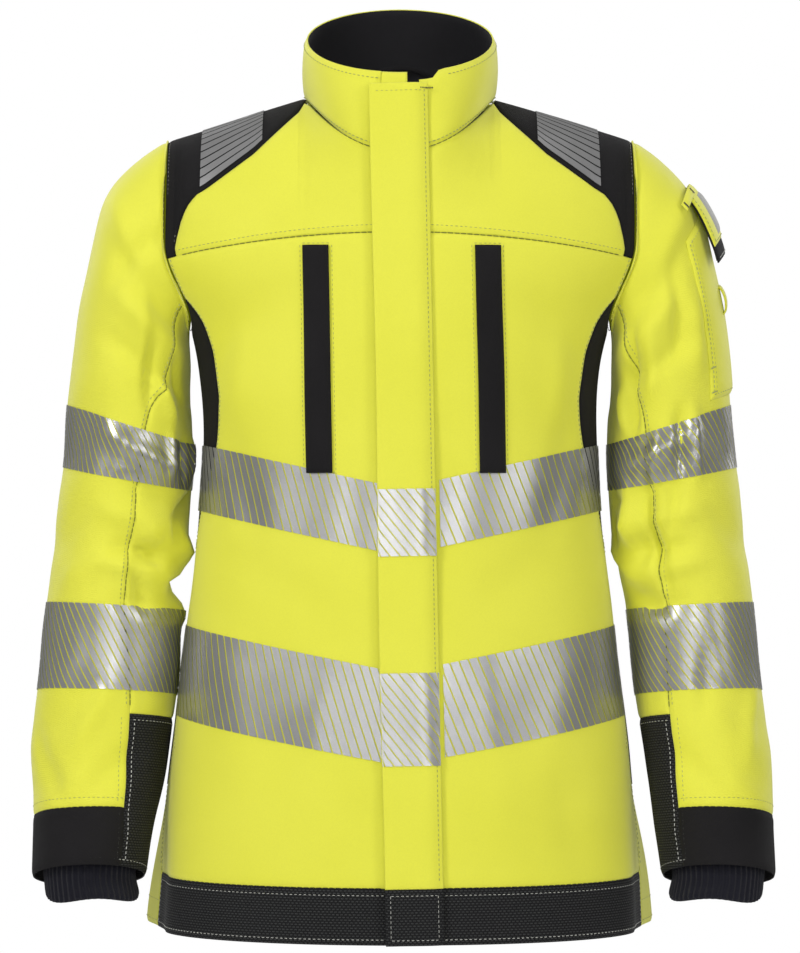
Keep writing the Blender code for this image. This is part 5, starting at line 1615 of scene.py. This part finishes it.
# ---------------------------------------------------------------- build
scene = bpy.context.scene
for SIDE, TAG in SIDES:
    front_pieces(SIDE, TAG)
    shoulder_pieces(SIDE, TAG)
    side_piece(SIDE, TAG)
    chest_pieces(SIDE, TAG)
    facing_piece(SIDE, TAG)
    sleeve_pieces(SIDE, TAG)
    sleeve_tapes(SIDE, TAG)
    sew_trunk(SIDE)
    sew_sleeve(SIDE, TAG)
back_pieces()
lining_pieces()
collar_pieces()
hanging_loop()
flap_pieces()
zip_pieces()
sleeve_pocket_pieces()
trunk_tapes()
sew_back()
sew_collar()
sew_flap()
sew_sleeve_pocket()
finish_sewing()

LOOKS = {"hi_vis_fabric": YELLOW, "black_fabric": BLACK, "black_ripstop": RIPSTOP, "knit_rib": KNIT,
         "black_lining": LINING, "reflective_tape": FILM, "zip_metal": ZIP_METAL}
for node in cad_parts.values():
    for slot in node.material_slots:
        name = slot.material.name.split(".")[0] if slot.material else ""
        if name in LOOKS:
            slot.material = LOOKS[name]

# ---------------------------------------------------------------- camera, light and floor
eye = bpy.data.cameras.new("studio_camera")
eye.sensor_fit = "VERTICAL"
eye.sensor_height = 36.0
eye.lens = 144.0
camera = bpy.data.objects.new("studio_camera", eye)
camera.location = (0.0, -3.0465, -0.325)
camera.rotation_euler = (math.radians(90), 0, 0)
scene.collection.objects.link(camera)
scene.camera = camera

floor_mesh = bpy.data.meshes.new("floor")
floor_mesh.from_pydata([(-1.6, -1.4, 0), (1.6, -1.4, 0), (1.6, 1.8, 0), (-1.6, 1.8, 0)], [],
                       [(0, 1, 2, 3)])
floor = bpy.data.objects.new("floor", floor_mesh)
floor.location = (0, 0, -1.25)
scene.collection.objects.link(floor)
paper = bpy.data.materials.new("pale_floor")
paper.use_nodes = True
paper.node_tree.nodes["Principled BSDF"].inputs["Base Color"].default_value = (0.86, 0.86, 0.85, 1)
paper.node_tree.nodes["Principled BSDF"].inputs["Roughness"].default_value = 0.9
floor_mesh.materials.append(paper)


def lamp(name, place, aim, size, power, tint=(1, 1, 1)):
    light = bpy.data.lights.new(name, "AREA")
    light.shape = "RECTANGLE"
    light.size, light.size_y = size
    light.energy = power
    light.color = tint
    made = bpy.data.objects.new(name, light)
    made.location = place
    made.rotation_euler = (Vector(aim) - Vector(place)).to_track_quat("-Z", "Y").to_euler()
    scene.collection.objects.link(made)


lamp("key_softbox", (-1.7, -1.9, 0.9), (0, 0, -0.3), (0.7, 1.1), 37)
lamp("fill_softbox", (1.9, -1.8, 0.5), (0, 0, -0.35), (0.8, 1.2), 19)
lamp("front_strobe", (0.12, -3.2, 0.10), (0, 0, -0.35), (0.34, 0.34), 13)
lamp("left_strip", (-0.75, -2.9, -0.2), (0, 0, -0.35), (0.08, 1.3), 7)
lamp("right_strip", (0.80, -2.9, -0.2), (0, 0, -0.35), (0.08, 1.3), 7)
lamp("overhead_softbox", (0.0, -0.5, 1.7), (0, 0, 0), (1.2, 0.7), 9)
lamp("back_left", (-1.4, 1.6, 0.8), (0, 0, -0.3), (1.0, 1.4), 18)
lamp("back_right", (1.5, 1.5, 0.6), (0, 0, -0.3), (1.0, 1.4), 18)

world = bpy.data.worlds.new("studio")
world.use_nodes = True
sky = world.node_tree
lit, seen = sky.nodes["Background"], sky.nodes.new("ShaderNodeBackground")
lit.inputs["Color"].default_value = (1, 1, 1, 1)
lit.inputs["Strength"].default_value = 0.23
seen.inputs["Color"].default_value = (1, 1, 1, 1)
seen.inputs["Strength"].default_value = 1.0
pick, path = sky.nodes.new("ShaderNodeMixShader"), sky.nodes.new("ShaderNodeLightPath")
sky.links.new(path.outputs["Is Camera Ray"], pick.inputs[0])
sky.links.new(lit.outputs[0], pick.inputs[1])
sky.links.new(seen.outputs[0], pick.inputs[2])
sky.links.new(pick.outputs[0], sky.nodes["World Output"].inputs["Surface"])
scene.world = world
scene.view_settings.view_transform = "Standard"
